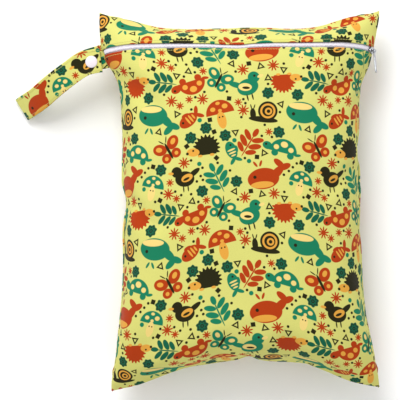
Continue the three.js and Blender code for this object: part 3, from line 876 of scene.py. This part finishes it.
def filled_repeat():
    """The placements with their fillers, each put where the ground has most room for it."""
    placements = list(PLACEMENTS)
    columns, rows = np.meshgrid(np.arange(0.5, TILE[0], 1.0), np.arange(0.5, TILE[1], 1.0), indexing="ij")
    spots = Spots(columns, rows)
    room = np.full(columns.shape, 1e3)
    for distance in print_layers(spots, placements).values():
        room = np.minimum(room, distance)
    count = 0
    for name, radius, wanted in FILLERS:
        for _ in range(wanted):
            # The spots with just enough room come first, so that each filler sits close in
            fitting = np.where(room > radius, room, 1e3)
            target = fitting + 3 * np.sin(columns * 0.9 + count) * np.sin(rows * 1.3 + count * 2.1)
            i, j = np.unravel_index(np.argmin(target), room.shape)
            if room[i, j] <= radius or room[i, j] >= 1e3:
                break
            x, y = columns[i, j], rows[i, j]
            placements.append(Placement(name, None, x, y, (count * 77) % 360, 1.0))
            room = np.minimum(room, spots.in_repeat(x, y).length() - radius * 0.8)
            count += 1
    return placements


def mask(distance):
    """1 inside and 0 outside, with a soft edge."""
    node = distance.tree.nodes.new("ShaderNodeMapRange")
    node.inputs["From Min"].default_value = INK_EDGE
    node.inputs["From Max"].default_value = -INK_EDGE
    distance.tree.links.new(distance.socket, node.inputs["Value"])
    return node.outputs[0]


def print_colour(tree, place):
    """The printed colour at a place in millimetres on the flat cloth."""
    layers = print_layers(place, filled_repeat())
    colour = None
    for name, ink in INKS.items():
        node = tree.nodes.new("ShaderNodeMix")
        node.data_type = "RGBA"
        tree.links.new(mask(layers[name]), node.inputs["Factor"])
        below, above = (socket for socket in node.inputs if socket.type == "RGBA")
        below.default_value = GROUND
        above.default_value = ink
        if colour:
            tree.links.new(colour, below)
        colour = next(socket for socket in node.outputs if socket.type == "RGBA")
    return colour


def new_material(name, **settings):
    material = bpy.data.materials.new(name)
    material.use_nodes = True
    tree = material.node_tree
    shader = tree.nodes["Principled BSDF"]
    for key, value in settings.items():
        shader.inputs[key.replace("_", " ").title()].default_value = value
    return material, tree, shader


def texture(tree, kind, coordinates, scale, **settings):
    node = tree.nodes.new("ShaderNodeTex" + kind)
    node.inputs["Scale"].default_value = scale
    if kind == "Noise":
        node.inputs["Detail"].default_value = settings["detail"]
    else:
        node.bands_direction = settings["direction"]
    tree.links.new(coordinates, node.inputs["Vector"])
    return Value(tree, node.outputs.get("Fac") or node.outputs[0])


def plain_colour(tree, colour):
    node = tree.nodes.new("ShaderNodeRGB")
    node.outputs[0].default_value = colour
    return node.outputs[0]


def paint(tree, shader, colour, shade):
    """Gives the shader a colour that is lightened and darkened by a shade round 1."""
    tinted = Place(tree, colour).vector("SCALE", scale=shade)
    tree.links.new(tinted.outputs[0], shader.inputs["Base Color"])


def bump(tree, shader, height, distance, strength=1.0):
    node = tree.nodes.new("ShaderNodeBump")
    node.inputs["Distance"].default_value = distance
    node.inputs["Strength"].default_value = strength
    tree.links.new(height.socket, node.inputs["Height"])
    tree.links.new(node.outputs[0], shader.inputs["Normal"])


def cloth_place(tree):
    """The place on the flat cloth, in millimetres, from the cloth's own map in metres."""
    node = tree.nodes.new("ShaderNodeUVMap")
    node.uv_map = "cloth"
    scaled = Place(tree, node.outputs[0]).vector("SCALE", scale=1000.0)
    return Place(tree, scaled.outputs[0])


def object_place(tree):
    return tree.nodes.new("ShaderNodeTexCoord").outputs["Object"]


def make_printed_cloth():
    material, tree, shader = new_material("printed_cloth")
    shader.inputs["Specular IOR Level"].default_value = 0.12
    shader.inputs["Sheen Weight"].default_value = 0.04
    shader.inputs["Sheen Roughness"].default_value = 0.5
    place = cloth_place(tree)
    cloud = texture(tree, "Noise", place.socket, 0.03, detail=3.0)
    grain = texture(tree, "Noise", place.socket, 1.1, detail=2.0)
    paint(tree, shader, print_colour(tree, place), (cloud - 0.5) * 0.10 + (grain - 0.5) * 0.16 + 1.0)
    rib = texture(tree, "Wave", place.socket, 0.62, direction="X")
    course = texture(tree, "Wave", place.socket, 0.5, direction="Y")
    bump(tree, shader, rib * 0.5 + course * 0.5 + grain * 0.6, 0.09 * MM, 0.8)
    rough = (grain - 0.5) * 0.2 + 0.78
    tree.links.new(rough.socket, shader.inputs["Roughness"])
    return material


def make_woven(name, colour, pitch):
    material, tree, shader = new_material(name, roughness=0.8)
    shader.inputs["Sheen Weight"].default_value = 0.2
    place = cloth_place(tree)
    warp = texture(tree, "Wave", place.socket, 0.31 / pitch, direction="Y")
    weft = texture(tree, "Wave", place.socket, 0.31 / pitch, direction="DIAGONAL")
    grain = texture(tree, "Noise", place.socket, 1.4, detail=2.0)
    paint(tree, shader, plain_colour(tree, colour), (warp - 0.5) * 0.06 + (grain - 0.5) * 0.08 + 1.0)
    bump(tree, shader, warp * 0.6 + weft * 0.6 + grain * 0.4, 0.12 * MM)
    return material


def make_solid(name, colour, roughness, metallic=0.0, speckle=0.05, coat=0.0, grain_scale=900.0):
    """Moulded plastic or plated metal, with a faint unevenness in its colour and its gloss."""
    material, tree, shader = new_material(name, metallic=metallic)
    shader.inputs["Coat Weight"].default_value = coat
    fine = texture(tree, "Noise", object_place(tree), grain_scale, detail=3.0)
    broad = texture(tree, "Noise", object_place(tree), grain_scale / 12, detail=2.0)
    paint(tree, shader, plain_colour(tree, colour), (fine - 0.5) * speckle + (broad - 0.5) * speckle + 1.0)
    tree.links.new(((fine - 0.5) * 0.2 + roughness).socket, shader.inputs["Roughness"])
    bump(tree, shader, fine, 0.01 * MM, 0.5)
    return material


MATERIALS = {
    "cloth": make_printed_cloth(),
    "tape": make_woven("zip_tape", srgb(218, 213, 222), 0.6),
    "coil": make_solid("zip_coil", srgb(224, 219, 228), 0.42),
    "metal": make_solid("zip_metal", srgb(172, 174, 180), 0.32, metallic=0.85, speckle=0.08),
    "snap": make_solid("snap_plastic", srgb(222, 214, 221), 0.3, coat=0.2),
    "thread": make_solid("thread", srgb(196, 190, 108), 0.7, speckle=0.2, grain_scale=3000.0),
}


# Meshes


def new_object(name, points, faces, material, uvs=None, smooth_faces=True):
    mesh = bpy.data.meshes.new(name)
    mesh.from_pydata(np.asarray(points, float).tolist(), [], faces)
    mesh.materials.append(MATERIALS[material])
    if uvs is not None:
        layer = mesh.uv_layers.new(name="cloth")
        loops = np.zeros(len(mesh.loops), int)
        mesh.loops.foreach_get("vertex_index", loops)
        layer.data.foreach_set("uv", np.asarray(uvs, float)[loops].ravel())
    mesh.polygons.foreach_set("use_smooth", [smooth_faces] * len(mesh.polygons))
    piece = bpy.data.objects.new(name, mesh)
    bpy.context.collection.objects.link(piece)
    return piece


def grid_faces(columns, rows, flipped=False):
    faces = []
    for i in range(columns - 1):
        for j in range(rows - 1):
            a = i * rows + j
            quad = (a, a + rows, a + rows + 1, a + 1)
            faces.append(quad[::-1] if flipped else quad)
    return faces


def ring_faces(rings, sides, around=False):
    """Quads between neighbouring rings of points, and a face over each end. around joins the last
    ring to the first instead."""
    faces = []
    for ring in range(rings if around else rings - 1):
        low = ring * sides
        high = (ring + 1) % rings * sides
        for k in range(sides):
            after = (k + 1) % sides
            faces.append((low + k, low + after, high + after, high + k))
    if not around:
        last = (rings - 1) * sides
        faces += [tuple(range(sides))[::-1], tuple(range(last, last + sides))]
    return faces


def on_circle(radius, degrees):
    angle = math.radians(degrees)
    return radius * math.cos(angle), radius * math.sin(angle)


def path_lengths(points):
    """How far along a path each of its points is."""
    return np.concatenate([[0], np.cumsum(np.linalg.norm(np.diff(points, axis=0), axis=1))])


def ride(piece, node=None, body="bag"):
    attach(piece, body)
    if node:
        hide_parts(node)
    return piece


# Rows of a cloth panel along the bag: the share of the cloth and the depth under the face
def hem_rows(edge, direction):
    """The fold along the slot, and the cloth that it turns under."""
    rows = []
    for step in range(1, 9):
        angle = step / 8 * math.pi
        share = edge + direction * HEM * (math.sin(angle) - 1) / HALF_HEIGHT
        rows.append((share, HEM * (1 - math.cos(angle))))
    for step in (0.33, 0.66, 1.0):
        rows.append((edge - direction * (HEM + HEM_WIDTH * step) / HALF_HEIGHT, 2 * HEM))
    return rows


def cloth_panel(name, node, side, rows, columns, offset):
    """A panel from its rows, with the offset of its place on the print."""
    shares, depths = np.array(rows).T
    across, along = np.meshgrid(spread_shares(-1, 1, columns), shares, indexing="ij")
    points = under(across, along, side, np.broadcast_to(depths, along.shape))
    uvs = np.stack([across * HALF_WIDTH + offset[0], along * HALF_HEIGHT + offset[1]], -1).reshape(-1, 2)
    faces = grid_faces(*across.shape, flipped=side == "back")
    piece = new_object(name, points.reshape(-1, 3), faces, "cloth", uvs)
    modifier = piece.modifiers.new("thickness", "SOLIDIFY")
    modifier.thickness = CLOTH
    modifier.offset = -1
    modifier.use_even_offset = False
    return ride(piece, node)


SLOT_LOW = ZIP_LINE - SLOT_SHARE
SLOT_HIGH = ZIP_LINE + SLOT_SHARE
HEM_SHARE = HEM / HALF_HEIGHT
front_rows = [(share, 0.0) for share in spread_shares(-1, SLOT_LOW - HEM_SHARE, 150)]
front_rows += hem_rows(SLOT_LOW, 1)
band_rows = [(share, 0.0) for share in spread_shares(SLOT_HIGH + HEM_SHARE, 1, 30)]
band_rows = hem_rows(SLOT_HIGH, -1)[::-1] + band_rows
back_rows = [(share, 0.0) for share in spread_shares(-1, 1, 150)]

front = cloth_panel("cloth_front", "front_panel", "front", front_rows, 130, (0.0, 0.0))
band = cloth_panel("cloth_top_band", "top_band", "front", band_rows, 130, (0.017, 0.026))
back = cloth_panel("cloth_back", "back_panel", "back", back_rows, 110, (0.05, 0.03))


# Zip


def tape_along_zip(name, low, high):
    """A closed strip that follows the zip, from one distance across it to another."""
    across = spread_shares(-from_seam(END_GAP), from_seam(END_GAP), 160)
    along = ZIP_LINE + np.array([low, high]) / HALF_HEIGHT
    back = TAPE_TOP + TAPE_THICKNESS
    levels = [(along[0], TAPE_TOP), (along[1], TAPE_TOP), (along[1], back), (along[0], back)]
    rings = [under(across, np.full_like(across, b), "front", np.full_like(across, d)) for b, d in levels]
    sides_and_ends = ring_faces(len(across), 4)
    faces = [(a, d, c, b) for a, b, c, d in sides_and_ends[:-2]] + sides_and_ends[-2:]
    uvs = np.stack([np.repeat(across * ZIP_HALF, 4), np.tile([low, high, high, low], len(across))], -1)
    tape = new_object(name, np.stack(rings, 1).reshape(-1, 3), faces, "tape", uvs, smooth_faces=False)
    ride(tape, "zip_" + name)


TAPE_SPLIT = 1.2 * MM
tape_along_zip("tape_lower", -TAPE_SPLIT - TAPE_WIDTH, -TAPE_SPLIT)
tape_along_zip("tape_upper", TAPE_SPLIT, TAPE_SPLIT + TAPE_WIDTH)


def tube(path, radius, sides):
    """Points and faces of a round tube. radius may hold one value for each point of the path."""
    path = np.asarray(path, float)
    radii = np.broadcast_to(radius, len(path))
    ahead = np.gradient(path, axis=0)
    ahead /= np.linalg.norm(ahead, axis=1, keepdims=True)
    helper = np.array([0, 0, 1.0]) if abs(ahead[0][2]) < 0.9 else np.array([1.0, 0, 0])
    turns = np.arange(sides) / sides * 2 * math.pi
    points = []
    for point, direction, size in zip(path, ahead, radii):
        side = np.cross(direction, helper)
        side /= np.linalg.norm(side)
        helper = np.cross(side, direction)
        points.extend(point + size * (np.cos(turns)[:, None] * side + np.sin(turns)[:, None] * helper))
    return np.array(points), [face[1::-1] + face[:1:-1] for face in ring_faces(len(path), sides)]


def joined(parts):
    points, faces, start = [], [], 0
    for part_points, part_faces in parts:
        points.append(part_points)
        faces += [tuple(i + start for i in face_) for face_ in part_faces]
        start += len(part_points)
    return np.concatenate(points), faces


def on_zip(distance_across, share, depth):
    """Points beside the zip's middle line, at a depth under the cloth."""
    along = ZIP_LINE + np.asarray(distance_across) / HALF_HEIGHT
    return under(np.asarray(share, float), along, "front", np.asarray(depth, float))


def coil_teeth():
    """Each tooth is a bar from one edge of the coil to just past its middle."""
    parts = []
    start = -ZIP_HALF + END_GAP
    end = ZIP_HALF - SLIDER_SETBACK - SLIDER_LENGTH / 2 - 0.5 * MM
    count = int((end - start) / COIL_PITCH * 2)
    reach = np.array([-0.5, -0.46, -0.3, 0.0, 0.12, 0.17]) * COIL_WIDTH
    radii = np.array([0.12, 0.38, 0.46, 0.46, 0.34, 0.1]) * MM
    for i in range(count):
        side = 1 if i % 2 else -1
        share = (start + i * COIL_PITCH / 2) / ZIP_HALF
        depth = TAPE_TOP - COIL_THICKNESS / 2 - np.array([-0.25, 0.0, 0.1, 0.1, 0.0, -0.2]) * MM
        path = on_zip(side * reach, np.full(6, share), depth)
        parts.append(tube(path, radii, 6))
    return joined(parts)


coil = new_object("coil", *coil_teeth(), "coil")
ride(coil, "zip_coil")


def stitches(path, length, gap, radius, lift, normals):
    """Short threads along a path, each with its ends sunk into the cloth."""
    walked = path_lengths(path)
    parts = []
    for k in range(int(walked[-1] / (length + gap))):
        at = k * (length + gap) + np.array([0.0, 0.12, 0.5, 0.88, 1.0]) * length
        line, out = (
            np.stack([np.interp(at, walked, column) for column in values.T], -1)
            for values in (path, normals)
        )
        rise = np.array([-0.8, 0.35, 1.0, 0.35, -0.8])[:, None] * lift
        parts.append(tube(line + out * rise, radius * np.array([0.7, 1, 1.05, 1, 0.7]), 6))
    return joined(parts)


def zip_stitches():
    share = spread_shares(-from_seam(3 * MM), from_seam(3 * MM), 500)
    parts = []
    for direction in (-1, 1):
        along = np.full_like(share, ZIP_LINE + direction * (ZIP_SLOT / 2 + STITCH_INSET) / HALF_HEIGHT)
        path = under(share, along, "front", 0)
        out = normal_of(plain_face, share, along, "front")
        parts.append(stitches(path, 2.4 * MM, 0.5 * MM, 0.22 * MM, 0.14 * MM, out))
    return joined(parts)


ride(new_object("zip_stitching", *zip_stitches(), "thread"))


def rounded_plate(length, width, thickness, corner, low):
    """A flat plate with round corners and eased edges. low is its bottom."""
    outline = []
    for right, up, first in ((1, 1, 0), (-1, 1, 90), (-1, -1, 180), (1, -1, 270)):
        for step in range(7):
            x, y = on_circle(corner, first + step * 15)
            outline.append((right * (length / 2 - corner) + x, up * (width / 2 - corner) + y))
    ease = min(0.22 * MM, thickness * 0.35)
    rings = []
    for inset, height in ((1, 0.0), (0, ease), (0, thickness - ease), (1, thickness)):
        plan = np.array(outline) * (1 - 2 * inset * ease / np.array([length, width]))
        rings.append(np.column_stack([plan, np.full(len(plan), low + height)]))
    return np.concatenate(rings), ring_faces(4, len(outline))


def slider_frame():
    """The slider's own frame: X along the zip, Y towards the top seam and Z out of the cloth."""
    share = np.array([from_seam(SLIDER_SETBACK)])
    line = np.array([ZIP_LINE])
    out = Vector(normal_of(plain_face, share, line, "front")[0])
    ahead = plain_face(share + 0.005, line, "front") - plain_face(share - 0.005, line, "front")
    along = Vector(ahead[0]).normalized()
    aside = out.cross(along).normalized()
    place = Vector(plain_face(share, line, "front")[0])
    return Matrix((along, aside, out)).transposed().to_4x4(), place


slider_turn, slider_place = slider_frame()
SLIDER = Matrix.Translation(slider_place) @ slider_turn


def moved(points, matrix):
    turned = np.array(matrix.to_3x3())
    return np.asarray(points) @ turned.T + np.array(matrix.translation)


def bail_path():
    """The loop on the slider's top, from one post over to the other."""
    half = (SLIDER_LENGTH - BAIL_POST) / 2
    low = PLATE_BOTTOM + PLATE / 2
    bend = 0.9 * MM
    path = [(-half, 0, low), (-half, 0, BAIL_HEIGHT - bend)]
    for step in range(1, 6):
        angle = math.radians(step * 18)
        path.append((-half + bend * (1 - math.cos(angle)), 0, BAIL_HEIGHT - bend + bend * math.sin(angle)))
    path += [(-x, y, z) for x, y, z in path[::-1]]
    return path


def slider_parts():
    web = rounded_plate(
        SLIDER_LENGTH / 2, 1.8 * MM, LOWER_PLATE + PLATE_BOTTOM + PLATE, 0.6 * MM, -LOWER_PLATE - PLATE / 2
    )
    top = rounded_plate(SLIDER_LENGTH, SLIDER_WIDTH, PLATE, 2.2 * MM, PLATE_BOTTOM)
    bottom = rounded_plate(SLIDER_LENGTH, SLIDER_WIDTH, PLATE, 2.2 * MM, -LOWER_PLATE - PLATE / 2)
    return joined([top, bottom, web, tube(bail_path(), BAIL_RADIUS, 16)])


points, faces = slider_parts()
ride(new_object("slider", moved(points, SLIDER), faces, "metal"), "zip_slider")


def pull_parts():
    """The pull's tab, flat about its own middle plane and pointing along -Y from its eye."""
    half_eye = (SLIDER_LENGTH - 2 * BAIL_POST - 0.6 * MM) / 2
    curve = bpy.data.curves.new("pull_outline", "CURVE")
    curve.dimensions = "2D"
    curve.fill_mode = "BOTH"
    curve.bevel_depth = 0.14 * MM
    curve.bevel_resolution = 2
    curve.extrude = PULL_THICKNESS / 2 - curve.bevel_depth
    tip = PULL_WIDTH / 2
    middle = tip - PULL_LENGTH  # of the round end and of its hole
    outline = [(half_eye, -1.1 * MM), (tip, -9 * MM), (tip, middle)]
    for step in range(1, 12):
        x, y = on_circle(tip, -15 * step)
        outline.append((x, middle + y))
    outline += [(-tip, middle), (-tip, -9 * MM), (-half_eye, -1.1 * MM)]
    hole = []
    for step in range(18):
        x, y = on_circle(PULL_HOLE + curve.bevel_depth, 20 * step)
        hole.append((x, middle + y))
    for loop, shrink in ((outline, 1 - curve.bevel_depth / tip), (hole, 1)):
        spline = curve.splines.new("POLY")
        spline.points.add(len(loop) - 1)
        for point, (x, y) in zip(spline.points, loop):
            point.co = (x * shrink, y, 0, 1)
        spline.use_cyclic_u = True
    mesh = bpy.data.meshes.new_from_object(bpy.data.objects.new("pull_outline", curve))
    tab = bmesh.new()
    tab.from_mesh(mesh)
    bmesh.ops.remove_doubles(tab, verts=tab.verts, dist=0.01 * MM)
    points = np.array([v.co[:] for v in tab.verts])
    faces = [tuple(v.index for v in f.verts) for f in tab.faces]
    tab.free()
    bpy.data.meshes.remove(mesh)
    bpy.data.curves.remove(curve)
    return joined([(points, faces), eye_ring(half_eye)])


def turned_piece(profile, sides=64, around=False):
    """A turned mesh about local Z, from pairs of radius and height."""
    turns = [360 * k / sides for k in range(sides)]
    points = [(*on_circle(radius, turn), height) for radius, height in profile for turn in turns]
    return np.array(points), ring_faces(len(profile), sides, around)


def eye_ring(half):
    """The rolled eye of the pull, round the bail."""
    ease = 0.15 * MM
    outwards = [(EYE_INNER, half), (EYE_OUTER - ease, half), (EYE_OUTER, half - ease)]
    profile = [(radius, -x) for radius, x in outwards] + outwards[::-1]
    points, faces = turned_piece(profile, 28, around=True)
    return points[:, [2, 0, 1]], faces


PULL = SLIDER @ Matrix.Translation((0, 0, BAIL_HEIGHT)) @ Matrix.Rotation(-math.radians(PULL_LIFT), 4, "X")
points, faces = pull_parts()
ride(new_object("pull", moved(points, PULL), faces, "metal"), "zip_pull", body="pull")


# Strap


def route(column, share):
    return from_table([getattr(row, column) for row in STRAP_ROUTE], share)


def layer_spacing(share):
    return LOOP_GAP * route("gap", share) + LAYER


STRAP_START = plain_face(np.array(-1.0), np.array(STRAP_LINE), "front")
STRAP_ROOT = float(seam_height(-1, STRAP_LINE)) + layer_spacing(0.0) / 2
STRAP_TIP = (layer_spacing(1.0) + LAYER) / 2


def strap_middle(share):
    return Vector((
        STRAP_START[0] - STRAP_REACH * route("out", share),
        STRAP_START[1] - STRAP_SLANT * route("down", share),
        mix(STRAP_TIP, STRAP_ROOT, route("height", share)),
    ))


def strap_frame(share):
    step = 0.01
    along = strap_middle(min(share + step, 1.0)) - strap_middle(max(share - step, 0.0))
    along.normalize()
    wide = Vector((along.y, -along.x, 0)).normalized()
    return strap_middle(share), along, wide, wide.cross(along)


def layer_station(share, layer):
    middle, _, wide, up = strap_frame(share)
    slip = LAYER_SLIP * route("slip", share) if layer < 0 else 0.0
    middle = middle + up * (layer * layer_spacing(share) / 2) + wide * slip
    return middle, wide, up * layer


STRAP_LENGTH = sum(
    (strap_middle(i / 100) - strap_middle((i + 1) / 100)).length for i in range(100)
)


def strap_stations():
    """Middle, width direction and outward face of the strap, from its tail to its free end."""
    stations = []
    root = layer_station(0.0, -1)
    outwards = strap_frame(0.0)[1]
    into_seam = Vector((-outwards.x, -outwards.y, 0)).normalized()
    for depth in (STRAP_TAIL, STRAP_TAIL / 2, 0, -STRAP_LEAD / 2, -STRAP_LEAD):
        middle = root[0] + into_seam * depth
        middle.z = STRAP_ROOT - layer_spacing(0.0) / 2
        stations.append((middle, root[1], Vector((0, 0, -1))))
    lead = STRAP_LEAD / STRAP_LENGTH
    cells = 60
    for i in range(1, cells + 1):
        stations.append(layer_station(mix(lead, 1.0, i / cells), -1))
    middle, along, wide, up = strap_frame(1.0)
    for i in range(1, 20):
        turn = i / 20 * math.pi
        spoke = up * -math.cos(turn) + along * math.sin(turn)
        stations.append((middle + spoke * (layer_spacing(1.0) / 2), wide, spoke))
    last = FREE_END / STRAP_LENGTH
    for i in range(cells, -1, -1):
        stations.append(layer_station(mix(last, 1.0, i / cells), 1))
    return stations


def band_section():
    """The strap's cross-section: places across its width and off its middle plane."""
    half, thick = STRAP_WIDTH / 2, STRAP_THICKNESS / 2
    edge = thick * 0.9
    top = [(x, 1.0) for x in np.linspace(-half + edge, half - edge, 15)]
    right = [(half - edge + edge * math.sin(a), math.cos(a)) for a in (0.5, 1.0, 1.57, 2.14, 2.64)]
    bottom = [(x, -1.0) for x in np.linspace(half - edge, -half + edge, 15)]
    left = [(-x, y) for x, y in right[::-1]]
    return [(x, y * thick) for x, y in top + right + bottom + left]


def strap_mesh():
    stations = strap_stations()
    section = band_section()
    walked = path_lengths([station[0][:] for station in stations])
    points, uvs = [], []
    for (middle, wide, out), distance in zip(stations, walked):
        cup = 0.35 * MM * math.sin(distance * 150) + 0.25 * MM * math.sin(distance * 61 + 1)
        for across, off in section:
            share = across / (STRAP_WIDTH / 2)
            seam = 0.3 * MM * math.exp(-((abs(share) - 0.82) / 0.05) ** 2)
            rise = off - math.copysign(seam, off) + cup * (share * share - 0.4)
            points.append((middle + wide * across + out * rise)[:])
            uvs.append((distance + 0.013, across + 0.021 + (0.0 if off > 0 else 0.031)))
    return np.array(points), ring_faces(len(stations), len(section)), uvs, walked[-1]


points, faces, uvs, strap_flat = strap_mesh()
strap = new_object("strap_band", points, faces, "cloth", uvs)
ride(strap, "strap")


def strap_stitches():
    stations = strap_stations()[6:]
    parts = []
    for side in (-1, 1):
        aside = side * (STRAP_WIDTH / 2 - 2.3 * MM)
        path = np.array([(m + w * aside + o * (STRAP_THICKNESS / 2))[:] for m, w, o in stations])
        out = np.array([o[:] for _, _, o in stations])
        parts.append(stitches(path, 2.3 * MM, 0.5 * MM, 0.2 * MM, 0.08 * MM, out))
    return joined(parts)


ride(new_object("strap_stitching", *strap_stitches(), "thread"))


# Snap


def snap_matrix():
    middle, along, wide, up = strap_frame(SNAP_REACH / STRAP_LENGTH)
    return Matrix.Translation(middle) @ Matrix((wide, along, up)).transposed().to_4x4()


def cap_profile(spacing):
    foot = (spacing + LAYER) / 2 + SNAP_GAP - 0.2 * MM
    rim = 0.5 * MM
    profile = [(PIN_RADIUS, SNAP_GAP), (PIN_RADIUS, foot), (CAP_RADIUS - rim, foot)]
    for step in range(7):
        out, up = on_circle(rim, -90 + step * 22)
        profile.append((CAP_RADIUS - rim + out, foot + rim + up))
    for step in range(1, 11):
        t = step / 10
        radius = max((CAP_RADIUS - 0.6 * MM) * (1 - t), 0.02 * MM)
        profile.append((radius, foot + 0.9 * MM + 0.95 * MM * math.sin(t * math.pi / 2) ** 0.8))
    return profile


def ring_profile(spacing):
    top = (spacing - LAYER) / 2
    bore = PIN_RADIUS + SNAP_GAP
    ease = 0.3 * MM
    foot = SNAP_GAP / 2
    return [
        (bore, foot), (RING_RADIUS - ease, foot), (RING_RADIUS, foot + ease), (RING_RADIUS, top), (bore, top),
    ]


SNAP = snap_matrix()
snap_spacing = layer_spacing(SNAP_REACH / STRAP_LENGTH)
OVER = SNAP @ Matrix.Rotation(math.pi, 4, "X")
for name, node, profile, matrix in (
    ("cap", "snap_cap", cap_profile(snap_spacing), SNAP),
    ("socket", "snap_socket", ring_profile(snap_spacing), SNAP),
    ("stud", "snap_stud", ring_profile(snap_spacing), OVER),
    ("back_cap", "snap_back_cap", cap_profile(snap_spacing), OVER),
):
    points, faces = turned_piece(profile)
    ride(new_object("snap_plastic_" + name, moved(points, matrix), faces, "snap"), node)


# Floor, lights and camera


def make_floor():
    material, tree, shader = new_material("floor", roughness=0.9)
    noise = texture(tree, "Noise", object_place(tree), 3.0, detail=2.0)
    paint(tree, shader, plain_colour(tree, (0.96, 0.96, 0.96, 1)), (noise - 0.5) * 0.01 + 1.0)
    MATERIALS["floor"] = material
    corners = [(3.0 * x, 3.0 * y, -0.0003) for x, y in ((-1, -1), (1, -1), (1, 1), (-1, 1))]
    new_object("floor", corners, [(0, 1, 2, 3)], "floor")


def add_key_light(place, target, size, power):
    light = bpy.data.lights.new("key", "AREA")
    light.energy = power
    light.size = size
    lamp = bpy.data.objects.new("key", light)
    lamp.location = place
    lamp.rotation_euler = (Vector(target) - Vector(place)).to_track_quat("-Z", "Y").to_euler()
    bpy.context.collection.objects.link(lamp)


def add_world(strength):
    world = bpy.data.worlds.new("studio")
    world.use_nodes = True
    world.node_tree.nodes["Background"].inputs["Color"].default_value = (1, 1, 1, 1)
    world.node_tree.nodes["Background"].inputs["Strength"].default_value = strength
    bpy.context.scene.world = world


def add_camera():
    camera = bpy.data.cameras.new("camera")
    camera.sensor_width = SENSOR
    camera.lens = SENSOR * CAMERA_RISE / VIEW_WIDTH
    camera.clip_start = 0.05
    holder = bpy.data.objects.new("camera", camera)
    holder.location = (*VIEW_MIDDLE, SEAM_HEIGHT + CAMERA_RISE)
    bpy.context.collection.objects.link(holder)
    bpy.context.scene.camera = holder


make_floor()
add_world(0.83)
add_key_light((-0.45, 1.2, 1.45), (0, 0, 0.03), size=1.0, power=26)
add_camera()
bpy.context.scene.view_settings.view_transform = "Standard"
